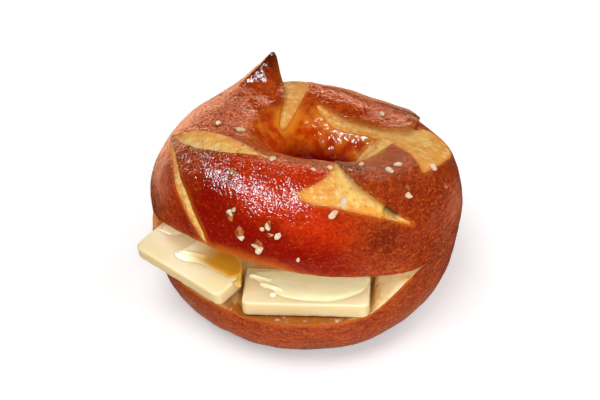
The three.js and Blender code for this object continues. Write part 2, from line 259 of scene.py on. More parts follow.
def map_line(places):
    """Smooth curve through places given by their two angles, as points on the map."""
    knots = np.array(places) * MAP_SCALE
    spots = np.linspace(0, len(knots) - 1, 6 * len(knots) + 1)
    index = np.minimum(spots.astype(int), len(knots) - 2)
    share = (spots - index)[:, None]
    before, start = knots[np.maximum(index - 1, 0)], knots[index]
    end, after = knots[index + 1], knots[np.minimum(index + 2, len(knots) - 1)]
    leave, arrive = (end - before) / 2, (after - start) / 2
    cubic = (2 * start - 2 * end + leave + arrive) * share**3
    square = (3 * end - 3 * start - 2 * leave - arrive) * share**2
    return cubic + square + leave * share + start


Nearest = namedtuple("Nearest", "distance along at heading")


def nearest_on_line(places, line):
    """For each place: distance to the line, share along it, the nearest spot and the line's heading."""
    count = len(places)
    found = Nearest(np.full(count, np.inf), np.zeros(count), places.copy(), np.zeros_like(places))
    for i, (start, span) in enumerate(zip(line[:-1], np.diff(line, axis=0))):
        share = np.clip((places - start) @ span / (span @ span), 0, 1)
        spot = start + share[:, None] * span
        gap = np.linalg.norm(places - spot, axis=1)
        closer = gap < found.distance
        found.distance[closer] = gap[closer]
        found.along[closer] = ((i + share) / (len(line) - 1))[closer]
        found.at[closer] = spot[closer]
        found.heading[closer] = span / np.linalg.norm(span)
    return found


def is_inside(places, outline):
    inside = np.zeros(len(places), bool)
    for (x, y), (next_x, next_y) in zip(outline, np.roll(outline, -1, axis=0)):
        if y == next_y:
            continue
        straddles = (y > places[:, 1]) != (next_y > places[:, 1])
        crossing = x + (places[:, 1] - y) * (next_x - x) / (next_y - y)
        inside ^= straddles & (places[:, 0] < crossing)
    return inside


def beside_flap(flap, angle, turn):
    """Places on the map, with the angles counted so that they lie beside the flap."""
    middle = flap.ear.at[0] + FLAP_HALF_SPAN
    away = (angle - middle + 180) % 360 - 180
    return np.stack([middle + away, turn], axis=-1) * MAP_SCALE


print("flaps drawn:", len(FLAPS))

# %% [markdown]
# The relief of the crust comes next: the crust swells towards a lip, the ear lifts, and the torn
# crumb sinks beside the lip. A displacement texture would blur these edges. Moving the mesh points
# that lie next to a lip exactly onto it, and a little past it, gives a clean, slightly overhanging
# edge. Near the tip of an ear the skin may also wrap some way into the tear, and the tip and the
# lips are singed.

# %% Relief of the crust
LIP_FADE = 4.0
LIP_SNAP = 0.3
LIP_SKIN = -0.1
FACET_START = 1.5
FACET_FULL = 9.0
TEAR_SLOPE = 0.5
TEAR_CURVE = 1.2
TEAR_WALL = 1.8
TEAR_UNDERCUT = 0.72
WRAP_REACH = 5.0
SINGE_FADE = 0.9
SINGE_CURVE = 1.5
CRUST_STEP = 0.25
CRUST_STEP_FADE = 0.9
RELIEF_START = 8.0
FAR_AWAY = 40.0


def snap_to_lips(angle, turn, flaps):
    """Moves places beside a lip onto it. Returns angle, turn and the number of the flap, or -1."""
    angle, turn, owner = angle.copy(), turn.copy(), np.full(len(angle), -1)
    for number, flap in enumerate(flaps):
        places = beside_flap(flap, angle, turn)
        for lip, side in ((map_line(flap.hole_lip), 1), (map_line(flap.rim_lip), -1)):
            near = nearest_on_line(places, lip)
            snaps = (near.distance < LIP_SNAP) & (near.along > 0) & (near.along < 1) & (owner < 0)
            aside = np.stack([-near.heading[:, 1], near.heading[:, 0]], axis=-1) * side
            moved = near.at + aside * (flap.overhang * (1 - near.along))[:, None]
            angle[snaps], turn[snaps] = (moved / MAP_SCALE)[snaps].T
            owner[snaps] = number
    return angle, turn, owner


def crust_marks(angle, turn, owner):
    """Relief and marks of the crust at places: swell, lift, tear, torn share and singe."""
    marks = {name: np.zeros(len(angle)) for name in ("swell", "lift", "singe")}
    marks["torn"] = np.ones(len(angle))
    marks["tear"] = np.full(len(angle), -FAR_AWAY)
    on_flap = np.zeros(len(angle), bool)
    for number, flap in enumerate(FLAPS):
        add_flap(marks, on_flap, flap, beside_flap(flap, angle, turn), owner == number)
    return marks


def add_flap(marks, on_flap, flap, places, snapped):
    hole_lip, rim_lip = map_line(flap.hole_lip), map_line(flap.rim_lip)
    near_hole, near_rim = nearest_on_line(places, hole_lip), nearest_on_line(places, rim_lip)
    own = (is_inside(places, np.concatenate([hole_lip, rim_lip[::-1]])) | snapped) & ~on_flap
    both = (near_hole, near_rim)
    swells = [flap.lip_rise * (1 - near.along**2) * np.exp(-near.distance / LIP_FADE) for near in both]
    marks["swell"][own] = np.maximum(*swells)[own]
    marks["lift"][own] = ear_lift(flap.ear, places, near_hole.distance)[own]
    burnt_edge = [np.exp(-near.distance / SINGE_FADE) * (1 - near.along) ** SINGE_CURVE for near in both]
    burnt_tip = np.exp(-((tip_distance(flap.ear, places) / flap.ear.singe) ** 2))
    marks["singe"][own] = np.maximum(np.maximum(*burnt_edge), burnt_tip)[own]
    for near, lip, far_places, depth in (
        (near_hole, hole_lip, flap.hole_far, flap.hole_depth),
        (near_rim, rim_lip, flap.rim_far, flap.rim_depth),
    ):
        far = map_line(far_places)
        inside = is_inside(places, np.concatenate([lip, far[::-1]])) & ~own & ~on_flap
        from_far = nearest_on_line(places, far).distance
        wrap = flap.ear.wrap * np.exp(-((tip_distance(flap.ear, places) / WRAP_REACH) ** 2))
        add_tear(marks, inside, own | on_flap, near.distance, from_far, depth, wrap)
    on_flap |= own


def tip_distance(ear, places):
    return np.linalg.norm(places - np.array(ear.at) * MAP_SCALE, axis=1)


def ear_lift(ear, places, from_lip):
    """Lift of a flap towards its ear. Away from the tip the crust slopes down to the lip in a facet."""
    tip = np.array(ear.at) * MAP_SCALE
    slope = np.clip(1 - np.maximum(places[:, 0] - tip[0], 0) / ear.length, 0, 1) ** ear.curve
    bell = np.exp(-(((places[:, 1] - tip[1]) / ear.width) ** 2))
    off_tip = smooth_step(tip_distance(ear, places), FACET_START, FACET_FULL)
    facet = 1 - off_tip * (1 - smooth_step(from_lip, 0, ear.facet))
    return ear.rise * slope * bell * facet


def add_tear(marks, inside, covered, from_lip, from_far, depth, wrap):
    edge = np.minimum(from_lip, from_far)
    marks["tear"] = np.maximum(marks["tear"], np.where(inside, edge - wrap, -edge))
    width = from_lip + from_far + 1e-6
    wall = smooth_step(from_lip, -TEAR_UNDERCUT, TEAR_WALL)
    sink = -np.minimum(depth, TEAR_SLOPE * width) * wall * (1 - from_lip / width) ** TEAR_CURVE
    marks["swell"] = np.where(inside, np.minimum(marks["swell"], sink), marks["swell"])
    marks["torn"] = np.where(inside, from_lip / width, marks["torn"])
    plain = ~inside & ~covered & (marks["swell"] >= 0)
    crust_edge = CRUST_STEP * np.exp(-from_far / CRUST_STEP_FADE)
    marks["swell"] = np.where(plain, np.maximum(marks["swell"], crust_edge), marks["swell"])


def crust_point(angle, turn):
    """Points of the upper crust with its relief, and their marks."""
    angle, turn, owner = snap_to_lips(angle, turn, FLAPS)
    marks = crust_marks(angle, turn, owner)
    marks["on_lip"] = owner >= 0
    marks["tear"][owner >= 0] = LIP_SKIN
    marks["torn"][owner >= 0] = 0
    fade = smooth_step(np.minimum(turn - CUT_TURN, HOLE_TURN - turn), 0, RELIEF_START)
    points = smooth_point(angle, turn) + outward_normal(angle, turn) * (marks["swell"] * fade)[:, None]
    points[:, 2] += marks["lift"] * fade
    return points, marks


print("highest ear lifts by", max(flap.ear.rise for flap in FLAPS), "mm")

# %% [markdown]
# The whole loaf is one closed mesh: a grid for the upper crust, one for the lower crust, and two
# for the cut faces. Joining separate meshes afterwards would need welding. Here the four grids
# share the numbers of their common points from the start, so the mesh is closed as it is made. At
# the two inner corners of the mouth the cut faces would lie back to back, so those points are left
# out.

# %% Grids of the loaf
MOUTH_COLUMNS = 200
CLOSED_COLUMNS = 280
TOP_ROWS = 140
BOTTOM_ROWS = 36
FACE_ROWS = 26
COLUMNS = MOUTH_COLUMNS + CLOSED_COLUMNS

ring_angles = np.concatenate([
    np.linspace(MOUTH_LEFT, MOUTH_RIGHT, MOUTH_COLUMNS + 1),
    np.linspace(MOUTH_RIGHT, MOUTH_LEFT + 360, CLOSED_COLUMNS + 1)[1:-1],
])
top_turns = np.linspace(CUT_TURN, HOLE_TURN, TOP_ROWS + 1)
bottom_turns = np.linspace(HOLE_TURN, 360 + CUT_TURN, BOTTOM_ROWS + 1)
mouth_columns = np.arange(MOUTH_COLUMNS + 1)


def grid_places(turns):
    angle, turn = np.meshgrid(ring_angles, turns, indexing="ij")
    return angle.ravel(), turn.ravel()


top_points, crust_values = crust_point(*grid_places(top_turns))
bottom_points = smooth_point(*grid_places(bottom_turns), False)
face_shares = np.linspace(0, 1, FACE_ROWS + 1)
face_angle, face_share = np.meshgrid(ring_angles[mouth_columns], face_shares, indexing="ij")
rim_reach = plain_section(face_angle, CUT_TURN)[0]
face_reach = rim_reach + (hinge_reach(face_angle) - rim_reach) * face_share
upper_face_points = opened_point(face_angle, face_reach, PLAIN_CUT, True).reshape(-1, 3)
lower_face_points = opened_point(face_angle, face_reach, PLAIN_CUT, False).reshape(-1, 3)
loaf_points = np.concatenate([top_points, bottom_points, upper_face_points, lower_face_points])

counts = np.cumsum([0, len(top_points), len(bottom_points), len(upper_face_points)])
top_index = counts[0] + np.arange(len(top_points)).reshape(COLUMNS, -1)
bottom_index = counts[1] + np.arange(len(bottom_points)).reshape(COLUMNS, -1)
upper_face_index = counts[2] + np.arange(len(upper_face_points)).reshape(MOUTH_COLUMNS + 1, -1)
lower_face_index = counts[3] + np.arange(len(lower_face_points)).reshape(MOUTH_COLUMNS + 1, -1)
bottom_index[:, 0] = top_index[:, -1]
closed = np.r_[0, MOUTH_COLUMNS:COLUMNS]
bottom_index[closed, -1] = top_index[closed, 0]
upper_face_index[:, 0] = top_index[mouth_columns, 0]
lower_face_index[:, 0] = bottom_index[mouth_columns, -1]
lower_face_index[:, -1] = upper_face_index[:, -1]
lower_face_index[[0, -1]] = upper_face_index[[0, -1]]


def grid_quads(index, closed_round, flipped):
    index = np.concatenate([index, index[:1]]) if closed_round else index
    corners = (index[:-1, :-1], index[1:, :-1], index[1:, 1:], index[:-1, 1:])
    quads = np.stack(corners, axis=-1).reshape(-1, 4)
    return quads[:, ::-1] if flipped else quads


def split_along_lips(quads, on_lip):
    """Faces in which a quad that a lip crosses from corner to corner is two triangles along the lip."""
    a, b, c, d = on_lip[quads].T
    first, second = a & c & ~b & ~d, b & d & ~a & ~c
    whole = quads[~first & ~second]
    halves = [quads[first][:, [0, 1, 2]], quads[first][:, [0, 2, 3]]]
    halves += [quads[second][:, [0, 1, 3]], quads[second][:, [1, 2, 3]]]
    return whole.tolist() + np.concatenate(halves).tolist()


on_lip = np.zeros(len(loaf_points), bool)
on_lip[: len(top_points)] = crust_values["on_lip"]
crust_faces = split_along_lips(grid_quads(top_index, True, False), on_lip)
crust_faces += grid_quads(bottom_index, True, False).tolist()
crumb_faces = grid_quads(upper_face_index, False, True).tolist()
crumb_faces += grid_quads(lower_face_index, False, False).tolist()
inner_corners = set(upper_face_index[[0, -1], -1].tolist())
crumb_faces = [[point for point in face if point not in inner_corners] for face in crumb_faces]
print("loaf faces:", len(crust_faces), "of crust and", len(crumb_faces), "of crumb")

# %% [markdown]
# Coarse salt was strewn on the wet dough. Most grains stay pale, and some are caught under the
# browned glaze. A random scatter would put them anywhere, so each one has its place here, as two
# angles and half its length in millimetres. The crust is darker round every larger grain, which is
# why the places come before the finishes.

# %% Places of the salt
SALT = (
    (175, 89, 1.2), (-179, 105, 1.6), (-115, 96, 1.3), (-129, 68, 0.8), (-120, 32, 1.2), (-114, 11, 1.3),
    (-105, 27, 1.2), (-101, 21, 1.4), (-107, 4, 1.6), (-81, 44, 1.6), (-76, 55, 2.0), (-77, 92, 1.2),
    (-52, 99, 1.2), (-42, 82, 1.5), (-32, 85, 1.5), (-45, 52, 1.5), (-18, 61, 1.7), (39, 86, 1.2),
)
SMALL_SALT = (
    (-155, 82, 1.0), (-87, 89, 1.0), (-94, 2, 0.8), (-109, 7, 1.1), (-107, 24, 0.9), (-119, 35, 0.9),
)
GLAZED_SALT = (
    (-129, 70, 1.5), (-128, 64, 1.3), (-120, 29, 2.0), (-115, 14, 2.1), (-105, 29, 1.9), (-108, 6, 2.0),
    (-21, 39, 1.4), (-42, 60, 1.4), (137, 82, 1.5), (137, 62, 1.3), (172, 88, 1.6), (-104, 20, 1.3),
)
print("salt grains placed:", len(SALT + SMALL_SALT), "pale and", len(GLAZED_SALT), "browned")

# %% [markdown]
# The marks become numbers stored on the mesh points: how far inside a tear a point is, how singed
# it is, how far it is from the cut edge. Painting a picture would tie the colours to one
# resolution. Stored distances stay sharp, because the material decides where its colours change.

# %% Marks of the loaf
CRUST_DEGREE = 0.45
LOWER_RIM = 2.4
CORNER_FADE = 0.2
HOLE_WALL = (95, 150)
HOLE_SHADE_TURNS = (136, 154)
HOLE_FOOT = (250, 290)
GLAZE_MIDDLE = -108
GLAZE_SPREAD = 40
GLAZE_FOOT = (-15, -2)
GLAZE_TOP = (80, 110)
used = np.array(sorted({corner for face in crust_faces + crumb_faces for corner in face}))
number_of = np.zeros(len(loaf_points), int)
number_of[used] = np.arange(len(used))
loaf_faces = [number_of[face].tolist() for face in crust_faces + crumb_faces]


def loaf_value(fill, top=None, bottom=None):
    values = np.full(len(loaf_points), float(fill))
    if top is not None:
        values[: counts[1]] = top
    if bottom is not None:
        values[counts[1] : counts[2]] = bottom
    return values[used]


top_angle, top_turn = grid_places(top_turns)
bottom_angle, bottom_turn = grid_places(bottom_turns)
open_top = np.sin(np.pi * mouth_share(top_angle)) ** 0.5
open_bottom = smooth_step(np.sin(np.pi * mouth_share(bottom_angle)), 0, CORNER_FADE)
hole_foot = 1 - smooth_step(bottom_turn, *HOLE_FOOT)
from_glaze = (top_angle - GLAZE_MIDDLE + 180) % 360 - 180
glaze_height = smooth_step(top_turn, *GLAZE_FOOT) * (1 - smooth_step(top_turn, *GLAZE_TOP))
loaf_marks = {
    "tear": loaf_value(-FAR_AWAY, crust_values["tear"]),
    "torn": loaf_value(1, crust_values["torn"]),
    "singe": loaf_value(0, crust_values["singe"]),
    "rim": loaf_value(
        FAR_AWAY,
        (top_turn - CUT_TURN) * CRUST_DEGREE + (1 - open_top) * FAR_AWAY,
        (360 + CUT_TURN - bottom_turn) * CRUST_DEGREE * LOWER_RIM + (1 - open_bottom) * FAR_AWAY,
    ),
    "hole": loaf_value(0, smooth_step(top_turn, *HOLE_WALL), hole_foot),
    # deep is painted shade: it darkens the crust deep inside the hole
    "deep": loaf_value(0, smooth_step(top_turn, *HOLE_SHADE_TURNS), hole_foot),
    "glaze": loaf_value(0, np.exp(-((from_glaze / GLAZE_SPREAD) ** 2)) * glaze_height),
}
print("marks from the angles:", ", ".join(loaf_marks))

# %% [markdown]
# Some marks belong to single spots: a burnt patch, a browned side, a small notch at the point of a
# tear, which is pitted and painted dark as painted shade, and a darker ring round each grain of salt.
# They fade with the distance from a place on the crust. The golden-brown front edge of the lower cut
# face below the front slab, partly butter-soaked crumb and partly painted shade under the slab,
# fades with the distance from its rim.

# %% Spots of the loaf
NOTCH = ((-57.5, 46), (-56.5, 44), (-55.5, 42), (-54.5, 40))
NOTCH_RADIUS = 1.2
NOTCH_DEPTH = 2.4
BURNT_SPOT = (-62, 19)
BURNT_RADIUS = 6.5
BROWNED_SIDE = (-36, 34)
BROWNED_RADIUS = 20.0
SALT_RING = 1.9
SHADED_EDGE_REACH = (3.0, 8.0)
SHADED_EDGE_RIGHT = (0.18, 0.28)
SHADED_EDGE_LEFT = (0.5, 0.58)


def around(points, places, radius):
    """Share from 1 at the nearest of some places on the crust to 0 well away."""
    spots = np.array([place[:2] for place in places], float)
    middles = smooth_point(spots[:, 0], spots[:, 1])
    nearest = np.min([np.linalg.norm(points - middle, axis=1) for middle in middles], axis=0)
    return np.exp(-((nearest / radius) ** 2))


loaf_marks["burnt"] = around(loaf_points[used], [BURNT_SPOT], BURNT_RADIUS)
loaf_marks["browned"] = around(loaf_points[used], [BROWNED_SIDE], BROWNED_RADIUS)
loaf_marks["shaded_notch"] = around(loaf_points[used], NOTCH, NOTCH_RADIUS)
loaf_marks["salted"] = around(loaf_points[used], SALT + GLAZED_SALT, SALT_RING)
# painted shade and soaked colour: the lower cut face is darker golden brown below the front slab
soaked_and_shaded_edge = np.zeros(len(loaf_points))
soaked_and_shaded_edge[counts[3] :] = (1 - smooth_step(rim_reach - face_reach, *SHADED_EDGE_REACH)).ravel()
face_along = mouth_share(face_angle).ravel()
soaked_and_shaded_edge[counts[3] :] *= smooth_step(face_along, *SHADED_EDGE_RIGHT)
soaked_and_shaded_edge[counts[3] :] *= 1 - smooth_step(face_along, *SHADED_EDGE_LEFT)
soaked_and_shaded_edge[bottom_index[mouth_columns, -1]] = soaked_and_shaded_edge[counts[3] :].reshape(face_angle.shape)[:, 1]
loaf_marks["soaked_and_shaded_edge"] = soaked_and_shaded_edge[used]
loaf_is_crumb = np.ones(len(used), bool)
loaf_is_crumb[[corner for face in loaf_faces[: len(crust_faces)] for corner in face]] = False
loaf_points = loaf_points[used]
print("loaf points:", len(loaf_points))

# %% [markdown]
# Real dough is never smooth: it rolls in shallow waves, the baked skin is leathery, the torn crumb
# is rough, and the skin is stretched into folds beside the right corner of the mouth. A few octaves
# of noise, moved along the normals, put these into the mesh, so that they also show in the outline.
# Each octave has a height and a width of its lumps.

# %% Unevenness of the loaf
def rough(points, size, seed):
    """Smooth noise from about -1 to 1 with lumps of the given size."""
    offset = Vector((seed * 7.3, seed * 3.1, seed * 5.7))
    return np.array([noise.noise(Vector(point) / size + offset) for point in points])


def new_mesh(name, points, faces):
    """Mesh in metres of points in millimetres round the ring's middle, shaded smooth."""
    mesh = bpy.data.meshes.new(name)
    mesh.from_pydata(((points + RING_CENTRE) * MM).tolist(), [], faces)
    mesh.polygons.foreach_set("use_smooth", np.ones(len(mesh.polygons), bool))
    mesh.update()
    return mesh


def mesh_normals(mesh):
    normals = np.empty(len(mesh.vertices) * 3, np.float32)
    mesh.vertex_normals.foreach_get("vector", normals)
    return normals.reshape(-1, 3)


DOUGH_WAVES = ((0.55, 15, 1), (0.28, 6, 2), (0.1, 2.2, 3))
CRUMB_LUMPS = ((0.5, 4.5, 4), (0.3, 2.0, 5))
FLAT_BASE = (0.3, 6)
TORN_FROM = (0.1, 1.5)
FOLD_ANGLE = -33.0
FOLD_SPREAD = 9.0
FOLD_PITCH = 2.6
FOLD_DEPTH = 0.35
FOLD_REACH = 9.0
FOLD_SIDE = (OUTER_RADIUS - 8, OUTER_RADIUS - 3)
CREASE_DEPTH = 0.9
CREASE_WIDTH = 0.9
loaf_mesh = new_mesh("loaf", loaf_points, loaf_faces)
loaf_normals = mesh_normals(loaf_mesh)
in_tear = smooth_step(loaf_marks["tear"], *TORN_FROM)
off_base = smooth_step(loaf_points[:, 2], *FLAT_BASE)
waves = sum(high * rough(loaf_points, wide, seed) for high, wide, seed in DOUGH_WAVES)
crumbs = sum(high * rough(loaf_points, wide, seed) for high, wide, seed in CRUMB_LUMPS)
uneven = np.where(loaf_is_crumb, crumbs, waves * (1 - in_tear) + crumbs * in_tear) * off_base
loaf_angle = np.degrees(np.arctan2(loaf_points[:, 1], loaf_points[:, 0]))
corner_height = loaf_points[:, 2] - (SLICE_HEIGHT + SLICE_TILT)
near_corner = np.exp(-(((loaf_angle - FOLD_ANGLE) / FOLD_SPREAD) ** 2)) * ~loaf_is_crumb
on_outside = smooth_step(np.hypot(loaf_points[:, 0], loaf_points[:, 1]), *FOLD_SIDE)
fold_fade = np.exp(-((corner_height / FOLD_REACH) ** 2))
folds = FOLD_DEPTH * np.cos(2 * np.pi * corner_height / FOLD_PITCH) * fold_fade
crease = -CREASE_DEPTH * np.exp(-((corner_height / CREASE_WIDTH) ** 2))
uneven -= NOTCH_DEPTH * loaf_marks["shaded_notch"]
uneven += (folds + crease) * near_corner * on_outside * (loaf_angle > MOUTH_RIGHT)
loaf_points = loaf_points + loaf_normals * uneven[:, None]
print("unevenness from", round(uneven.min(), 2), "to", round(uneven.max(), 2), "mm")

# %% [markdown]
# Two slabs of cold butter lie in the mouth, and the crumb gives way to them. Each slab has a frame
# of its own: length along the rim, depth towards the hole, thickness upwards.

# %% Places of the butter slabs
Slab = namedtuple("Slab", "name size edge turn dip roll taper")
BUTTER_GAP = 0.3
PRESS_FADE = (0.2, 2.0)
PRESS_LIMIT = 14
SOAK_REACH = 6.0
SLABS = (
    Slab("butter_slab_front", (40, 18, 5), (-0.4, -48.2, 20.8), -4, 1.5, 1.5, 0),
    Slab("butter_slab_left", (39, 14, 4.8), (-41.2, -31.9, 22.4), -43.4, 12, 0, 0.28),
)


def slab_axes(slab):
    turned = Euler((math.radians(slab.dip), math.radians(-slab.roll), math.radians(slab.turn)), "XYZ")
    return np.array(turned.to_matrix())


def to_slab(slab, points):
    return (points - np.array(slab.edge)) @ slab_axes(slab)


def from_slab(slab, points):
    return points @ slab_axes(slab).T + np.array(slab.edge)


def depth_scale(slab, x):
    return 1 - 2 * slab.taper * x / slab.size[0]


def outside_slab(slab, local):
    """Distance, seen from above, by which places in a slab's frame lie outside it."""
    length, depth, _ = slab.size
    past_back = local[:, 1] - depth * depth_scale(slab, local[:, 0])
    return np.maximum.reduce([np.abs(local[:, 0]) - length / 2, -local[:, 1], past_back])


def press_crumb(points, upper):
    """Moves the crumb clear of the slabs: down below them, or up above them for the upper half."""
    for slab in SLABS:
        local = to_slab(slab, points)
        pressed = 1 - smooth_step(outside_slab(slab, local), *PRESS_FADE)
        limit = slab.size[2] + BUTTER_GAP if upper else -BUTTER_GAP
        beyond = np.maximum(limit - local[:, 2], 0) if upper else np.minimum(limit - local[:, 2], 0)
        local[:, 2] += beyond * pressed * (np.abs(beyond) < PRESS_LIMIT)
        points = from_slab(slab, local)
    return points


def is_among(*grids):
    """Which points of the loaf belong to one of some grids of point numbers."""
    return np.isin(used, np.concatenate([grid.ravel() for grid in grids]))


is_upper = is_among(top_index[:, : TOP_ROWS // 4], upper_face_index[:, 1:-1])
is_lower = is_among(bottom_index[:, BOTTOM_ROWS // 2 :], lower_face_index) & ~is_upper
loaf_points[is_upper] = press_crumb(loaf_points[is_upper], True)
loaf_points[is_lower] = press_crumb(loaf_points[is_lower], False)


def soaked_share(points):
    """How close the crumb lies to a slab, from 1 at its edge to 0 well away."""
    nearest = np.minimum.reduce([outside_slab(slab, to_slab(slab, points)) for slab in SLABS])
    return 1 - smooth_step(nearest, 0, SOAK_REACH)


loaf_marks["soaked"] = soaked_share(loaf_points) * loaf_is_crumb
print("crumb points pressed clear of", len(SLABS), "slabs")

# %% [markdown]
# Shader maths reads best as plain sums. The small class below wraps one socket, so that an
# expression such as 1 - mask adds the Math nodes it needs. A second class holds one finish and adds
# every other node by its type, its settings and its sockets. Steps, mixes and layers of paint are
# short names for the nodes that are used most.

# %% Helpers for finishes
class Wire:
    """One output socket of a node tree. Sums on it add Math nodes."""

    def __init__(self, tree, socket):
        self.tree = tree
        self.socket = socket

    def maths(self, operation, first, second):
        node = self.tree.nodes.new("ShaderNodeMath")
        node.operation = operation
        for socket, value in zip(node.inputs, (first, second)):
            connect(self.tree, socket, value)
        return Wire(self.tree, node.outputs[0])

    def __add__(self, other):
        return self.maths("ADD", self, other)

    def __radd__(self, other):
        return self.maths("ADD", other, self)

    def __sub__(self, other):
        return self.maths("SUBTRACT", self, other)

    def __rsub__(self, other):
        return self.maths("SUBTRACT", other, self)

    def __mul__(self, other):
        return self.maths("MULTIPLY", self, other)

    def __rmul__(self, other):
        return self.maths("MULTIPLY", other, self)

    def __pow__(self, other):
        return self.maths("POWER", self, other)

    def __rpow__(self, other):
        return self.maths("POWER", other, self)


def connect(tree, socket, value):
    if isinstance(value, Wire):
        tree.links.new(value.socket, socket)
    else:
        socket.default_value = value


def colour(red, green, blue):
    """Linear colour of a shade given on a screen, from 0 to 255."""
    shares = [part / 255 for part in (red, green, blue)]
    return tuple(s / 12.92 if s <= 0.04045 else ((s + 0.055) / 1.055) ** 2.4 for s in shares) + (1.0,)


class Finish:
    """One material under construction."""

    def __init__(self, name):
        self.material = bpy.data.materials.new(name)
        self.material.use_nodes = True
        self.tree = self.material.node_tree
        self.tree.nodes.clear()
        self.place = self.add("ShaderNodeTexCoord", {}, {}, "Object")

    def add(self, kind, settings, sockets, output=0):
        node = self.tree.nodes.new(kind)
        for name, value in settings.items():
            setattr(node, name, value)
        for name, value in sockets.items():
            connect(self.tree, node.inputs[name], value)
        return Wire(self.tree, node.outputs[output]) if node.outputs else None

    def mark(self, name):
        return self.add("ShaderNodeAttribute", {"attribute_name": name}, {}, "Fac")

    def noise(self, scale, detail=3.0, roughness=0.55, place=None, output="Fac"):
        sockets = {"Vector": place or self.place, "Scale": scale, "Detail": detail, "Roughness": roughness}
        return self.add("ShaderNodeTexNoise", {}, sockets, output)

    def cells(self, scale, feature="F1", place=None):
        sockets = {"Vector": place or self.place, "Scale": scale}
        return self.add("ShaderNodeTexVoronoi", {"feature": feature}, sockets, "Distance")

    def step(self, value, low, high):
        sockets = {"Value": value, "From Min": low, "From Max": high}
        return self.add("ShaderNodeMapRange", {"interpolation_type": "SMOOTHSTEP"}, sockets)

    def mix(self, share, first, second):
        sockets = {0: share, 6: first, 7: second}
        return self.add("ShaderNodeMix", {"data_type": "RGBA"}, sockets, 2)

    def paint(self, base, *layers):
        """Lays shades over a base colour one by one, each with its own share."""
        for share, shade in layers:
            base = self.mix(share, base, colour(*shade))
        return base

    def blend(self, share, first, second):
        return first + (second - first) * share

    def bump(self, height, distance):
        sockets = {"Strength": 1.0, "Distance": distance, "Height": height}
        return self.add("ShaderNodeBump", {}, sockets, "Normal")

    def surface(self, sockets):
        shader = self.add("ShaderNodeBsdfPrincipled", {}, sockets)
        self.add("ShaderNodeOutputMaterial", {"target": "ALL"}, {"Surface": shader})
        print("finish", self.material.name, "has", len(self.tree.nodes), "nodes")
        return self.material


print("middle grey in linear light:", round(colour(128, 128, 128)[0], 3))

# %% [markdown]
# The lye-dipped skin bakes to a deep, glossy chestnut. It could be painted on a picture, but that
# would need unwrapping and would blur close up. Layers of noise follow the place on the loaf
# instead. The patterns that several layers share come first: large blotches, mottling, fine grain,
# pebbles, level streaks, a net of shallow lines and the fibres of the crumb. The finish is long, so
# it is built up over the next cells.

# %% Patterns of the crust
STREAK_FLATNESS = (1, 1, 3.5)
NET_WARP = 0.0012
crust = Finish("baked_crust")
across, behind, height = (
    crust.add("ShaderNodeSeparateXYZ", {}, {"Vector": crust.place}, axis) for axis in "XYZ"
)
blotch = crust.noise(42.0, 2.0)
mottle = crust.noise(210.0, 4.0, 0.6)
fine = crust.noise(900.0, 3.0, 0.6)
pebbles = crust.noise(1100.0, 1.5, 0.45)
fibres = crust.noise(420.0, 5.0, 0.7)
flatten = {0: crust.place, 1: STREAK_FLATNESS}
flattened = crust.add("ShaderNodeVectorMath", {"operation": "MULTIPLY"}, flatten)
streaks = crust.noise(300.0, 4.0, 0.5, flattened)
shift = {0: crust.noise(400.0, 2.0, 0.5, output="Color"), 1: (NET_WARP,) * 3, 2: crust.place}
warped = crust.add("ShaderNodeVectorMath", {"operation": "MULTIPLY_ADD"}, shift)
net = crust.cells(760.0, "DISTANCE_TO_EDGE", warped)
print("patterns of the crust use", len(crust.tree.nodes), "nodes")

# %% [markdown]
# The skin is more orange low down and redder above. On the upper front it carries a glaze, painted
# dark red where it turns down, as painted shade, and scarlet where it faces the lamps, as painted
# light. The glaze also hides most of the dull mottling, so its share is kept for the layers that follow.

# %% Ground and glaze of the skin
browned = crust.step(height + (blotch - 0.5) * 0.03, 0.018, 0.052)
skin = crust.mix(browned, colour(176, 70, 26), colour(186, 66, 14))
glaze = crust.step(crust.mark("glaze") + (mottle - 0.5) * 0.3, 0.15, 0.7)
dull = 1.0 - glaze * 0.8
# painted light and shade: the glaze is scarlet high up and to the right, dark red lower down
glaze_painted_light = crust.step(height + across * 0.35 + (mottle - 0.5) * 0.012, 0.045, 0.057)
scarlet = crust.mix(crust.step(across, 0.002, 0.022), colour(206, 46, 2), colour(180, 48, 4))
skin = crust.mix(glaze, skin, crust.mix(glaze_painted_light, colour(140, 2, 0), scarlet))
print("skin and glaze laid on")

# %% [markdown]
# Then the skin is broken up: darker and lighter blotches, a browned side and a burnt patch, pebbles
# that are painted darker in their hollows and lighter on their tops as painted shade and painted
# light, streaks, a dark foot, the net of lines painted dark in its grooves as painted shade, pale
# freckles, dark specks, and a brown ring round the salt. Each layer is a share and a shade, so one
# list shows the order in which they are laid.

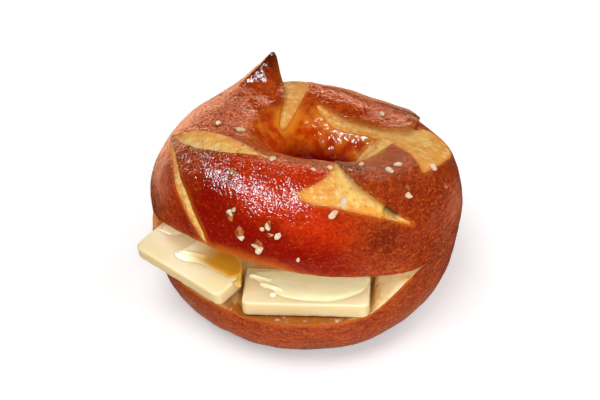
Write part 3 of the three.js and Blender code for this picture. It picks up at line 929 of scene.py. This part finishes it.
# %% Mottling of the skin
foot = crust.step(height + (mottle - 0.5) * 0.006, 0.009, 0.002)
freckles = crust.step(crust.cells(700.0), 0.22, 0.1) * crust.step(fine, 0.42, 0.6)
specks = crust.step(crust.cells(480.0), 0.2, 0.08) * crust.step(fine, 0.55, 0.4)
skin = crust.paint(
    skin,
    (crust.step(blotch, 0.5, 0.72) * dull * 0.6, (146, 42, 8)),
    (crust.step(mottle, 0.45, 0.75) * dull * 0.35, (200, 76, 14)),
    (crust.step(mottle, 0.5, 0.25) * dull * 0.45, (128, 32, 8)),
    (crust.mark("browned") * 0.7, (142, 42, 10)),
    (crust.mark("burnt") * 0.9, (104, 28, 10)),
    # painted shade and painted light: pebbles darker in the hollows of their bump, lighter on its tops
    (crust.step(pebbles, 0.55, 0.3) * 0.5, (108, 22, 4)),
    (crust.step(pebbles, 0.52, 0.72) * dull * 0.4, (220, 98, 24)),
    (crust.step(streaks, 0.5, 0.3) * dull * 0.5, (120, 34, 8)),
    (crust.step(streaks, 0.52, 0.7) * dull * 0.4, (214, 104, 36)),
    (foot * 0.75, (92, 26, 8)),
    # painted shade: the net of lines is darkened in the grooves of its bump
    (crust.step(net, 0.14, 0.0) * dull * 0.4, (104, 28, 8)),
    (freckles * (0.7 - glaze * 0.35), (228, 134, 44)),
    (specks * 0.6, (70, 16, 6)),
    (crust.mark("salted") * 0.5, (108, 28, 8)),
)
print("skin mottled, nodes so far:", len(crust.tree.nodes))

# %% [markdown]
# Towards the cut rim, in the hole and along the tears the skin stays thinner and more golden. Deep
# in the hole it is painted dark red as painted shade, and the tips of the ears are almost black.
# These layers read the marks that were stored on the mesh, each a little frayed by the noise.

# %% Edges and tips of the skin
hole = crust.mark("hole")
rim = crust.mark("rim") + (mottle - 0.5) * 3.0
edge = crust.mark("tear") + (fine - 0.5) * 0.7 + (mottle - 0.5) * 0.8
walls = crust.mix(crust.step(mottle, 0.42, 0.7), colour(190, 52, 2), colour(220, 108, 6))
band = hole * (1.0 - hole) * 4.0 * crust.step(mottle, 0.4, 0.7)
passage = crust.step(edge, -5.0, -0.3) * crust.step(hole, 0.04, 0.3)
skin = crust.paint(skin, (crust.step(rim, 4.5, 0.5) * 0.85, (198, 98, 26)))
skin = crust.mix(crust.step(hole, 0.0, 0.7), skin, walls)
skin = crust.paint(
    skin,
    (band * 0.4, (222, 132, 30)),
    # painted shade deep inside the hole
    (crust.mark("deep"), (128, 4, 0)),
    (passage * 0.9, (226, 136, 34)),
    (crust.step(edge, -1.5, 0.1) * 0.75, (202, 96, 16)),
    (crust.mark("singe") ** 0.8, (58, 14, 6)),
)
print("edges and tips laid on")

# %% [markdown]
# The bared crumb of the tears is cream beside the lip and golden towards the far edge, with pores
# and torn fibres, and it is deeper in colour at the back. Right at the lip it is painted darker, as
# painted shade under the overhanging lip. Skin and crumb share one finish, because the skin ends
# wherever the tear mark says so, and the fibres fray that edge.

# %% Bared crumb of the tears
torn = crust.mark("torn") + (mottle - 0.5) * 1.5 + (fine - 0.5) * 0.6
pores = crust.step(crust.cells(520.0), 0.34, 0.1) * crust.step(mottle, 0.4, 0.6)
far_edge = crust.step(edge, 1.3, 0.2) * crust.step(torn, 0.2, 0.6)
bared = crust.paint(
    crust.mix(crust.step(torn, 0.15, 0.85), colour(255, 208, 106), colour(248, 166, 48)),
    (far_edge * 0.75, (222, 120, 26)),
    (pores * 0.35, (210, 130, 48)),
    (crust.step(behind, 0.006, 0.022) * 0.5, (230, 136, 18)),
    (crust.step(fibres, 0.54, 0.72) * 0.6, (214, 124, 28)),
    (crust.step(fibres, 0.5, 0.34) * 0.8, (255, 224, 146)),
    # painted shade under the overhanging lip, on the crumb right beside it
    (crust.step(crust.mark("torn"), 0.32, 0.0) * 0.8, (164, 84, 20)),
)
is_bare = crust.step(crust.mark("tear") + (fine - 0.5) * 0.5 + (fibres - 0.5) * 1.2, -0.12, 0.16)
print("bared crumb laid on")

# %% [markdown]
# The last grain of the crust is finer than the mesh, so it is bump: wrinkles from the pebbles,
# streaks and net lines, and coarser dimples in the hole and on the glossy back, which break a lamp
# into single glints. A fine, strong bump would only give a haze there. The crumb's bump has the
# same mean height as the skin's, because a step between them would draw a dark line round every
# tear.

# %% Relief and gloss of the crust
CRUST_BUMP = MM
low_down = crust.step(height, 0.032, 0.02)
wrinkle = pebbles * (0.18 - glaze * 0.06) + streaks * (0.1 + low_down * 0.18)
wrinkle = wrinkle + crust.step(net, 0.0, 0.3) * 0.06
wrinkle = crust.blend(crust.step(hole, 0.0, 0.4), wrinkle, crust.noise(420.0, 2.0, 0.45) * 0.55)
glossy = crust.step(height + (mottle - 0.5) * 0.01, 0.046, 0.056) * (1.0 - hole)
glossy = glossy * crust.step(across, -0.024, -0.014) * crust.step(behind, 0.0, 0.015) * dull
wrinkle = crust.blend(glossy * 0.75, wrinkle, crust.noise(480.0, 2.0, 0.5) * 0.5)
porous = 0.42 + fine * 0.5 - pores * 0.3 - fibres * 0.9
shine = 0.16 + (mottle - 0.5) * 0.12 - glaze * 0.08 - hole * 0.1 - glossy * 0.06
shine = shine - crust.mark("singe") * 0.07
baked_crust = crust.surface({
    # painted shade: the notch pit is also darkened as the shade inside it
    "Base Color": crust.paint(crust.mix(is_bare, skin, bared), (crust.mark("shaded_notch") * 0.9, (70, 26, 8))),
    "Roughness": crust.blend(is_bare, shine, 0.62 + (fine - 0.5) * 0.2),
    "Normal": crust.bump(crust.blend(is_bare, wrinkle, porous), CRUST_BUMP),
    "Specular IOR Level": 0.6,
})

# %% [markdown]
# The cut faces show cream crumb: soft, full of small pores and fibres, soaked golden by butter
# round the slabs, and golden brown along the front edge below the front slab, partly soaked crumb
# and partly painted shade under the slab. A Voronoi pattern gives the round pores and noise makes
# them patchy. A little subsurface scattering lets light into the soft crumb.

# %% Finish of the cut crumb
def crumb_finish():
    crumb = Finish("cut_crumb")
    patches = crumb.noise(120.0, 3.0)
    fine = crumb.noise(800.0, 3.0, 0.6)
    fibres = crumb.noise(420.0, 5.0, 0.7)
    pores = crumb.step(crumb.cells(380.0), 0.42, 0.12) * crumb.step(patches, 0.38, 0.6)
    soaked = crumb.mark("soaked") * crumb.step(patches + fine * 0.4, 0.3, 0.8)
    soaked_and_shaded_edge = crumb.step(crumb.mark("soaked_and_shaded_edge") + (patches - 0.5) * 0.4, 0.2, 0.7)
    across = crumb.add("ShaderNodeSeparateXYZ", {}, {"Vector": crumb.place}, "X")
    base = crumb.mix(crumb.step(patches, 0.35, 0.7), colour(250, 226, 180), colour(236, 196, 130))
    base = crumb.paint(base, (soaked * 0.7, (222, 160, 66)))
    # painted shade and soaked colour along the front edge below the front slab
    base = crumb.mix(soaked_and_shaded_edge, base, crumb.mix(fine, colour(148, 72, 4), colour(184, 104, 10)))
    base = crumb.paint(
        base,
        (crumb.step(across, -0.032, -0.04) * 0.95, (224, 134, 10)),
        (pores * 0.55, (196, 134, 62)),
        (crumb.step(fibres, 0.56, 0.72) * 0.45, (206, 146, 74)),
        (crumb.step(fibres, 0.46, 0.32) * 0.6, (255, 240, 208)),
    )
    return crumb.surface({
        "Base Color": base,
        "Roughness": 0.6 + (fine - 0.5) * 0.2 - soaked * 0.25,
        "Normal": crumb.bump(fine * 0.6 - pores * 1.2 + patches, 0.0003),
        "Subsurface Weight": 0.25,
        "Subsurface Radius": (0.004, 0.002, 0.001),
    })


cut_crumb = crumb_finish()

# %% [markdown]
# Now the loaf is dressed. Its mesh takes the moved points, the marks that the finishes read, and
# the two finishes, one for the crust and one for the cut faces. Shading is smooth, but edges
# sharper than a set angle stay sharp, so that the lips of the flaps and the cut rim look cut.

# %% Bread
SHARP_EDGE = math.radians(62)


def store_marks(mesh, marks):
    for name, values in marks.items():
        attribute = mesh.attributes.new(name, "FLOAT", "POINT")
        attribute.data.foreach_set("value", values.astype(np.float32))


def add_piece(name, mesh, slot_name, *nodes):
    piece = bpy.data.objects.new(name, mesh)
    bpy.context.scene.collection.objects.link(piece)
    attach(piece, "root")
    if nodes:
        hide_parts(*nodes)
    print(name, "has", len(mesh.polygons), "faces")
    return piece


loaf_mesh.vertices.foreach_set("co", ((loaf_points + RING_CENTRE) * MM).astype(np.float32).ravel())
store_marks(loaf_mesh, loaf_marks)
loaf_mesh.materials.append(baked_crust)
loaf_mesh.materials.append(cut_crumb)
is_cut_face = np.arange(len(loaf_mesh.polygons)) >= len(crust_faces)
loaf_mesh.polygons.foreach_set("material_index", is_cut_face.astype(np.int32))
loaf_mesh.update()
loaf_mesh.set_sharp_from_angle(angle=SHARP_EDGE)
add_piece("bread", loaf_mesh, "crust", "bagel_bread")

# %% [markdown]
# Each grain of salt is a broken crystal: a ball cut down by random planes, flattened, with its
# edges slightly rounded. Copies of one sphere would look like sugar pearls, so every grain is cut
# anew. A ray from outside finds the crust, and the grain is set into it, the browned ones deeper.
# All grains are one mesh with two finishes.

# %% Salt grains
SALT_SEED = 11
SALT_FLATNESS = np.array([1.0, 0.72, 0.6])
SALT_PROUD = 0.25
GLAZED_SINK = -0.2
SALT_FACETS = 14
SALT_CUTS = (0.6, 1.0)
SALT_SHARPNESS = 18
SALT_ROUND = 1.1
SALT_DETAIL = 4
RAY_START = 25
loaf_tree = BVHTree.FromPolygons([Vector(point) for point in loaf_points], loaf_faces)


def on_crust(angle, turn):
    """Point of the crust and its normal where a ray from outside meets it."""
    normal = Vector(outward_normal(np.array([angle]), np.array([turn]))[0])
    start = Vector(smooth_point(np.array([angle]), np.array([turn]))[0]) + normal * RAY_START
    place, face_normal, _, _ = loaf_tree.ray_cast(start, -normal)
    return place, face_normal.lerp(normal, 0.5).normalized()


def add_grain(grains, place, normal, half, proud, finish, draw):
    """Adds one crystal: a ball cut down by random planes, with slightly rounded edges."""
    planes = unit(draw.normal(size=(SALT_FACETS, 3)))
    offsets = draw.uniform(*SALT_CUTS, SALT_FACETS)
    grain = bmesh.new()
    bmesh.ops.create_icosphere(grain, subdivisions=SALT_DETAIL, radius=1)
    for vert in grain.verts:
        against = np.append(np.maximum(planes @ np.array(vert.co) / offsets, 0), 1 / SALT_ROUND)
        reach = (against**SALT_SHARPNESS).sum() ** (-1 / SALT_SHARPNESS)
        vert.co = Vector(np.array(vert.co) * reach * half * SALT_FLATNESS)
    for face in grain.faces:
        face.material_index = finish
    spin = Matrix.Rotation(draw.uniform(0, 2 * math.pi), 4, "Z")
    upright = normal.to_track_quat("Z", "Y").to_matrix().to_4x4()
    move = Matrix.Translation(place + normal * proud * half)
    to_frame = Matrix.Scale(MM, 4) @ Matrix.Translation(Vector(RING_CENTRE))
    grain.transform(to_frame @ move @ upright @ spin)
    part = bpy.data.meshes.new("grain")
    grain.to_mesh(part)
    grain.free()
    grains.from_mesh(part)
    bpy.data.meshes.remove(part)


def salt_finish():
    salt = Finish("coarse_salt")
    cloud = salt.noise(500.0, 3.0)
    tone = salt.mix(salt.step(cloud, 0.35, 0.7), colour(242, 214, 182), colour(222, 180, 138))
    return salt.surface({
        "Base Color": tone,
        "Roughness": 0.3 + cloud * 0.25,
        "Normal": salt.bump(salt.noise(1500.0, 3.0), 0.0001),
        "Subsurface Weight": 0.6,
        "Subsurface Radius": (0.002, 0.0014, 0.001),
        "Subsurface Scale": 1.0,
    })


def glazed_finish():
    glazed = Finish("glazed_salt")
    cloud = glazed.noise(500.0, 3.0)
    tone = glazed.mix(glazed.step(cloud, 0.35, 0.65), colour(196, 112, 54), colour(136, 50, 16))
    return glazed.surface({
        "Base Color": tone,
        "Roughness": 0.15 + cloud * 0.1,
        "Normal": glazed.bump(glazed.noise(1500.0, 3.0), 0.0001),
    })


salt_draw = np.random.default_rng(SALT_SEED)
salt_shape = bmesh.new()
for angle, turn, half in SALT + SMALL_SALT:
    add_grain(salt_shape, *on_crust(angle, turn), half, SALT_PROUD, 0, salt_draw)
for angle, turn, half in GLAZED_SALT:
    add_grain(salt_shape, *on_crust(angle, turn), half, GLAZED_SINK, 1, salt_draw)
salt_mesh = bpy.data.meshes.new("salt_grains")
salt_shape.to_mesh(salt_mesh)
salt_shape.free()
salt_mesh.materials.append(salt_finish())
salt_mesh.materials.append(glazed_finish())
add_piece("salt_grains", salt_mesh, "salt")

# %% [markdown]
# A slab of butter is cut with a knife: flat faces, softened edges and small dents. The mesh is a
# loft of rings, from the middle of the underside, round the edge and back to the middle of the top,
# so that one outline and one profile give the whole closed slab. The front corners are rounder, as
# if softened by the warmth, and the melted pools are made by the same loft.

# %% Loft of rings
BUTTER_EDGE = 0.8
BUTTER_CORNER = 2.4
BACK_CORNER = 0.9
CORNER_POINTS = 9
SIDE_POINTS = 40
FLAT_SHARES = (0.97, 0.85, 0.7, 0.55, 0.4, 0.25, 0.1, 0.03)
SIDE_SHARES = (0.2, 0.4, 0.6, 0.8)


def spread(line, count):
    """The same closed line with points at even distances."""
    ring = np.concatenate([line, line[:1]])
    lengths = np.concatenate([[0], np.cumsum(np.linalg.norm(np.diff(ring, axis=0), axis=1))])
    marks = np.linspace(0, lengths[-1], count, endpoint=False)
    return np.stack([np.interp(marks, lengths, ring[:, axis]) for axis in (0, 1)], axis=-1)


def inset_line(line, distance):
    heading = unit(np.roll(line, -1, axis=0) - np.roll(line, 1, axis=0))
    inward = np.stack([-heading[:, 1], heading[:, 0]], axis=-1)
    return line + inward * distance


def loft(line, profile):
    """Closed mesh of rings. The profile gives an inset, a share towards the middle and a height."""
    middle = line.mean(axis=0)
    rings = []
    for inset, share, height in profile:
        ring = inset_line(line, inset)
        ring = ring + (middle - ring) * share
        rings.append(np.column_stack([ring, np.full(len(ring), height)]))
    ends = [np.append(middle, profile[0][2]), np.append(middle, profile[-1][2])]
    points = np.concatenate(rings + [np.array(ends)])
    count = len(line)
    index = np.arange(count * len(rings)).reshape(len(rings), count).T
    quads = grid_quads(index, True, False).tolist()
    first, last = len(points) - 2, len(points) - 1
    step = np.roll(np.arange(count), -1)
    quads += [[int(index[b, 0]), int(index[a, 0]), first] for a, b in enumerate(step)]
    quads += [[int(index[a, -1]), int(index[b, -1]), last] for a, b in enumerate(step)]
    return points, quads


def slab_outline(slab):
    length, depth, _ = slab.size
    corners = []
    for x, y, start in ((1, 0, -90), (1, 1, 0), (-1, 1, 90), (-1, 0, 180)):
        radius = BACK_CORNER if y else BUTTER_CORNER
        centre = np.array([x * (length / 2 - radius), depth - radius if y else radius])
        for degrees in np.linspace(start, start + 90, CORNER_POINTS):
            corners.append(centre + radius * np.array([cosine(degrees), sine(degrees)]))
    line = spread(np.array(corners), 4 * SIDE_POINTS)
    line[:, 1] *= depth_scale(slab, line[:, 0])
    return line


def slab_profile(thickness):
    edge = BUTTER_EDGE
    bends = np.linspace(0, 90, 6)
    inner = [(edge, share, 0.0) for share in FLAT_SHARES]
    lower = [(edge * (1 - sine(bend)), 0.0, edge * (1 - cosine(bend))) for bend in bends]
    side = [(0.0, 0.0, edge + (thickness - 2 * edge) * share) for share in SIDE_SHARES]
    upper = [(inset, share, thickness - height) for inset, share, height in reversed(lower)]
    top = [(inset, share, thickness) for inset, share, _ in reversed(inner)]
    return inner + lower + side + upper + top


print("rings of a slab:", len(slab_profile(SLABS[0].size[2])))

# %% [markdown]
# Butter is pale and waxy, and light soaks a few millimetres into it before it comes out again,
# which is why its edges seem to glow. Subsurface scattering gives that depth. Soft noise adds dents
# and slightly yellower patches, and the cut sides are painted a deeper cream than the top, as
# painted shade where they turn away from the light above. The slabs go into a collection of their
# own, so that one lamp can light the butter alone.

# %% Butter slabs
def butter_finish():
    butter = Finish("cold_butter")
    cloud = butter.noise(90.0, 3.0)
    fine = butter.noise(600.0, 3.0)
    tone = butter.mix(butter.step(cloud, 0.35, 0.7), colour(226, 211, 176), colour(222, 202, 154))
    facing = butter.add("ShaderNodeNewGeometry", {}, {}, "Normal")
    upward = butter.add("ShaderNodeSeparateXYZ", {}, {"Vector": facing}, "Z")
    # painted shade: the sides, which don't face up, get a deeper cream
    side = butter.mix(cloud, colour(228, 204, 156), colour(218, 190, 138))
    tone = butter.mix(butter.step(upward, 0.75, 0.3), tone, side)
    return butter.surface({
        "Base Color": tone,
        "Roughness": 0.42 + (fine - 0.5) * 0.2,
        "Normal": butter.bump(fine * 0.5 + cloud, 0.00012),
        "Subsurface Weight": 0.5,
        "Subsurface Radius": (0.006, 0.004, 0.002),
        "Subsurface Scale": 1.0,
        "Specular IOR Level": 0.4,
    })


BUTTER_DENTS = ((0.3, 6), (0.1, 1.8))
FINE_DENT_SEED = 9
butter_pieces = bpy.data.collections.new("butter_pieces")
cold_butter = butter_finish()
for number, slab in enumerate(SLABS):
    points, faces = loft(slab_outline(slab), slab_profile(slab.size[2]))
    outward = unit(points - np.array([0, slab.size[1] / 2, slab.size[2] / 2]))
    seeds = (number, FINE_DENT_SEED)
    dents = sum(deep * rough(points, wide, seed) for (deep, wide), seed in zip(BUTTER_DENTS, seeds))
    points = from_slab(slab, points - outward * np.abs(dents)[:, None])
    slab_mesh = new_mesh(slab.name, points, faces)
    slab_mesh.materials.append(cold_butter)
    slab_piece = add_piece(slab.name.replace("butter_slab", "cold_butter"), slab_mesh, "butter", slab.name)
    butter_pieces.objects.link(slab_piece)

# %% [markdown]
# Where the warm upper half touches the butter, it melts into thin, shiny pools, and a few higher
# beads stand on them. Liquid could be simulated, but it lies still here. Each pool is the same loft
# on a smooth closed curve, with a low rounded rim, so that its edge catches a bright line as the
# real meniscus does. A place is given along and across its slab.

# %% Places of the melted butter
Pool = namedtuple("Pool", "name slab places thickness meniscus")
POOLS = (
    Pool("front", 0, (
        (-8.3, 4.4), (-1.3, 2.2), (8.4, 2.1), (16.3, 5.9), (19.2, 9.9), (18.6, 15.2), (4, 16.8),
        (-12, 16.4), (-18.2, 14.6), (-17.2, 12.2), (-13.5, 9.2),
    ), 0.4, 1.8),
    Pool("small", 1, (
        (-17.9, 10.2), (-15.6, 9.7), (-12.4, 10.9), (-10.0, 13.6), (-12, 16.6), (-16.5, 15.6),
    ), 0.4, 1.4),
    Pool("between", 1, (
        (19.2, 7.0), (22.6, 7.2), (20.5, 9.8), (14.6, 15.6), (6, 17.5), (-1, 16.5), (0, 13.2), (10, 11.4),
        (18.8, 9.4),
    ), -0.7, 1.4),
    Pool("left", 1, (
        (-5.8, 5.3), (-1.6, 4.4), (3.6, 6.6), (7.3, 7.1), (12.4, 7.5), (17.2, 8.2), (18.6, 11.4),
        (14.5, 15.5), (4.5, 16.5), (-3.0, 14.5), (-4.6, 9.4),
    ), 0.4, 1.8),
    Pool("long_bead", 0, (
        (-18.6, 12.8), (-15.2, 11.6), (-12.2, 10.7), (-11.2, 11.6), (-14.4, 13.4), (-17.8, 14.6),
    ), 0.95, 0.85),
    Pool("short_bead", 0, (
        (-14.8, 8.7), (-11.4, 6.9), (-8.2, 5.9), (-7.0, 6.9), (-10.4, 9.2), (-13.8, 10.6),
    ), 0.95, 0.85),
    Pool("drop", 0, ((-11.1, 3.5), (-9.6, 3.3), (-9.0, 4.5), (-10.0, 5.3), (-11.3, 4.8)), 0.6, 0.6),
    Pool("left_bead", 1, (
        (-3.2, 6.4), (-0.2, 7.7), (3.8, 9.3), (3.3, 10.5), (-1.0, 9.3), (-4.0, 7.7),
    ), 1.05, 0.6),
)
print("pools and beads:", ", ".join(pool.name for pool in POOLS))

# %% [markdown]
# The melt is a clear, pale yellow. Near the bread it is painted golden, partly for the deeper melt
# there and partly as painted shade under the bread, and it is deeper in tone at its thin edge, so
# both are stored as marks on the mesh. The lowest pool has a negative thickness, because it sags
# into the gap beside the slab, and its faces are turned so that they still look outwards. The beads
# also go into a collection of their own, for the lamp that makes them gleam.

# %% Melted butter
POOL_SINK = 0.25
POOL_POINTS = 120
POOL_RIPPLE = 0.25
RIPPLE_WIDTH = 3.0
RIPPLE_SEED = 3
MELT_SHADE_ALONG = (-5.0, 8.0)
MELT_SHADE_ACROSS = (5.0, 9.0)
THIN_EDGE = (0.2, 0.9)
UNDER_SHARES = (0.9, 0.6, 0.3, 0.0)
MENISCUS = ((0.07, 0.3), (0.25, 0.62), (0.57, 0.85), (1.0, 0.96))
MENISCUS_FOOT = -0.05
POOL_SHARES = (0.15, 0.3, 0.5, 0.7, 0.9)
BEAD_BELOW = 1.0


def closed_curve(places, count):
    """Smooth closed curve through a few places."""
    knots = np.array(places, float)
    spots = np.linspace(0, len(knots), 8 * len(knots), endpoint=False)
    index = spots.astype(int)
    share = (spots - index)[:, None]
    before, start, end, after = (knots[(index + step) % len(knots)] for step in (-1, 0, 1, 2))
    leave, arrive = (end - before) / 2, (after - start) / 2
    cubic = (2 * start - 2 * end + leave + arrive) * share**3
    square = (3 * end - 3 * start - 2 * leave - arrive) * share**2
    return spread(cubic + square + leave * share + start, count)


def pool_profile(pool):
    wide, high = pool.meniscus, pool.thickness
    under = [(0.6 * wide, share, -POOL_SINK) for share in UNDER_SHARES]
    rim = [(0.0, 0.0, MENISCUS_FOOT)] + [(inset * wide, 0.0, rise * high) for inset, rise in MENISCUS]
    top = [(wide, share, high) for share in POOL_SHARES]
    return under + rim + top


def melt_finish():
    melt = Finish("melted_butter")
    cloud = melt.noise(140.0, 3.0)
    tone = melt.mix(melt.step(cloud, 0.35, 0.7), colour(252, 255, 226), colour(250, 252, 208))
    tone = melt.paint(
        tone,
        # painted shade and deeper melt: golden near the bread
        (melt.mark("deep_melt_and_shade"), (192, 134, 24)),
        (melt.mark("thin") * 0.6, (226, 186, 90)),
    )
    return melt.surface({
        "Base Color": tone,
        "Roughness": 0.05 + cloud * 0.05,
        "Normal": melt.bump(cloud, 0.0003),
    })


melted_butter = melt_finish()
butter_beads = bpy.data.collections.new("butter_beads")
for pool in POOLS:
    slab = SLABS[pool.slab]
    points, faces = loft(closed_curve(pool.places, POOL_POINTS), pool_profile(pool))
    along, across_slab, rise = points.T
    is_top = rise > 0.5 * pool.thickness
    ripples = POOL_RIPPLE * rough(points, RIPPLE_WIDTH, pool.slab + RIPPLE_SEED) * is_top
    melt_marks = {
        # painted shade and deeper melt: golden at the back right, under the bread
        "deep_melt_and_shade": smooth_step(along, *MELT_SHADE_ALONG) * smooth_step(across_slab, *MELT_SHADE_ACROSS) * pool.slab,
        "thin": 1 - smooth_step(rise, *(share * abs(pool.thickness) for share in THIN_EDGE)),
    }
    points[:, 2] += slab.size[2] + ripples
    if pool.thickness < 0:
        faces = [face[::-1] for face in faces]
    pool_mesh = new_mesh("pool_" + pool.name, from_slab(slab, points), faces)
    store_marks(pool_mesh, melt_marks)
    pool_mesh.materials.append(melted_butter)
    pool_piece = add_piece("melted_butter_" + pool.name, pool_mesh, "butter")
    butter_pieces.objects.link(pool_piece)
    if pool.meniscus < BEAD_BELOW:
        butter_beads.objects.link(pool_piece)

# %% [markdown]
# The bagel lies on a plain pale floor, which runs out of the picture on every side. It glows a
# little, so that it stays nearly white while the lamps are set for the crust, and the crust doesn't
# mirror it.

# %% Floor
FLOOR_RADIUS = 4.0
FLOOR_GLOW = 0.3


def floor_finish():
    floor = Finish("pale_floor")
    grain = floor.noise(30.0, 3.0)
    return floor.surface({
        "Base Color": floor.mix(grain, colour(246, 246, 246), colour(250, 250, 250)),
        "Roughness": 0.7 + grain * 0.1,
        "Specular IOR Level": 0.2,
        "Emission Color": (1.0, 1.0, 1.0, 1.0),
        "Emission Strength": FLOOR_GLOW,
    })


floor_shape = bmesh.new()
bmesh.ops.create_circle(floor_shape, cap_ends=True, segments=96, radius=FLOOR_RADIUS)
floor_mesh = bpy.data.meshes.new("floor")
floor_shape.to_mesh(floor_mesh)
floor_shape.free()
floor_mesh.materials.append(floor_finish())
floor = bpy.data.objects.new("floor", floor_mesh)
bpy.context.scene.collection.objects.link(floor)
floor.visible_glossy = False
print("floor radius:", FLOOR_RADIUS, "m")

# %% [markdown]
# A glossy crust shows two kinds of light: the soft light that colours it and the lamps that it
# mirrors. In a studio both come from the same softboxes. Here they are apart, so that each can be
# set alone: fills light the bread and aren't mirrored, and shines are only mirrored. Warm cards low
# round the back put a sheen on the flanks, a cool panel overhead makes the broad gleam on the
# front, and three lamps reach the butter only.

# %% Lamps
WHITE = (1.0, 1.0, 1.0)
SHEEN = (1.0, 0.5, 0.3)
WARM = (1.0, 0.78, 0.6)
COOL = (0.62, 1.0, 1.08)
target = Vector((np.array([-2.0, 1.0, 31.0]) + RING_CENTRE) * MM)


def add_softbox(name, direction, distance, size, power, tint=WHITE, spin=0):
    light = bpy.data.lights.new(name, "AREA")
    light.shape = "RECTANGLE"
    light.size, light.size_y = size
    light.energy = power
    light.color = tint
    lamp = bpy.data.objects.new(name, light)
    away = Vector(direction).normalized()
    lamp.location = target + away * distance
    facing = away.to_track_quat("Z", "Y").to_matrix() @ Matrix.Rotation(math.radians(spin), 3, "Z")
    lamp.rotation_euler = facing.to_euler()
    bpy.context.scene.collection.objects.link(lamp)
    return lamp


def add_fill(*settings):
    lamp = add_softbox(*settings)
    lamp.visible_glossy = False
    return lamp


def add_shine(*settings):
    lamp = add_softbox(*settings)
    lamp.visible_diffuse = False
    return lamp


add_fill("overhead", (-0.25, -0.3, 0.92), 1.9, (1.3, 1.4), 22.5)
add_fill("front_fill", (0.1, -0.86, 0.42), 1.6, (1.4, 1.0), 13)
add_fill("right_fill", (0.85, -0.45, 0.3), 1.5, (1.0, 0.8), 4)
add_fill("back_fill", (0.75, 0.5, 0.6), 1.5, (0.9, 0.8), 6)
butter_lamp = add_fill("butter_fill", (0.0, -0.5, 0.87), 1.2, (0.5, 0.5), 4.6)
butter_lamp.light_linking.receiver_collection = butter_pieces
butter_lamp.light_linking.blocker_collection = butter_pieces
add_shine("panel_shine", (-0.387, 0.041, 0.921), 1.15, (1.5, 0.12), 16, COOL, 19)
pool_lamp = add_shine("pool_shine", (-0.5, -0.32, 0.8), 1.2, (0.3, 0.3), 9)
pool_lamp.light_linking.receiver_collection = butter_pieces
bead_lamp = add_shine("bead_shine", (-0.2, 0.13, 0.97), 1.2, (0.9, 0.9), 64)
bead_lamp.light_linking.receiver_collection = butter_beads
bead_lamp.light_linking.blocker_collection = butter_pieces
add_shine("hole_shine", (0.28, -0.15, 0.95), 1.2, (0.14, 0.14), 1.6)
add_shine("flap_shine", (0.15, 0.84, 0.53), 1.2, (0.1, 0.05), 0.4, WARM)
add_shine("back_card", (-0.15, 1.0, -0.2), 1.5, (1.6, 0.7), 4, SHEEN)
add_shine("flap_card", (0.08, 0.9, 0.39), 1.5, (0.9, 0.12), 3, SHEEN)
add_shine("left_back_card", (-0.4, 0.9, 0.08), 1.5, (0.9, 0.5), 5, SHEEN)
add_shine("left_card", (-0.55, 0.75, -0.3), 1.5, (1.2, 0.6), 2.4, SHEEN)
add_shine("right_card", (0.75, 0.55, -0.42), 1.5, (1.0, 0.5), 1.2, SHEEN)
add_shine("floor_card", (0.1, -0.64, -0.77), 1.5, (2.0, 0.4), 3, SHEEN)
add_shine("under_card", (0.0, 0.2, -1.0), 0.8, (1.0, 1.0), 1.2, SHEEN)
print("lamps:", len(bpy.data.lights))

# %% [markdown]
# The surroundings give only a trace of light, because the lamps do the work. The camera looks down
# at the open front through a long lens, as in the photograph, so that the ring is hardly distorted.

# %% Surroundings and camera
WORLD_LIGHT = 0.02
world = bpy.data.worlds.new("studio")
world.use_nodes = True
sky = world.node_tree.nodes["Background"]
sky.inputs["Color"].default_value = (1, 1, 1, 1)
sky.inputs["Strength"].default_value = WORLD_LIGHT
bpy.context.scene.world = world
bpy.context.scene.view_settings.view_transform = "Standard"

CAMERA_DISTANCE = 0.56
CAMERA_ELEVATION = 35.0
CAMERA_LENS = 101.0
back = Vector((0, -cosine(CAMERA_ELEVATION), sine(CAMERA_ELEVATION)))
lens = bpy.data.cameras.new("camera")
lens.lens = CAMERA_LENS
camera = bpy.data.objects.new("camera", lens)
camera.location = target + back * CAMERA_DISTANCE
camera.rotation_euler = back.to_track_quat("Z", "Y").to_euler()
bpy.context.scene.collection.objects.link(camera)
bpy.context.scene.camera = camera
print("camera at", [round(part, 3) for part in camera.location])

# %% [markdown]
# Last, the view layer is brought up to date.


bpy.context.view_layer.update()
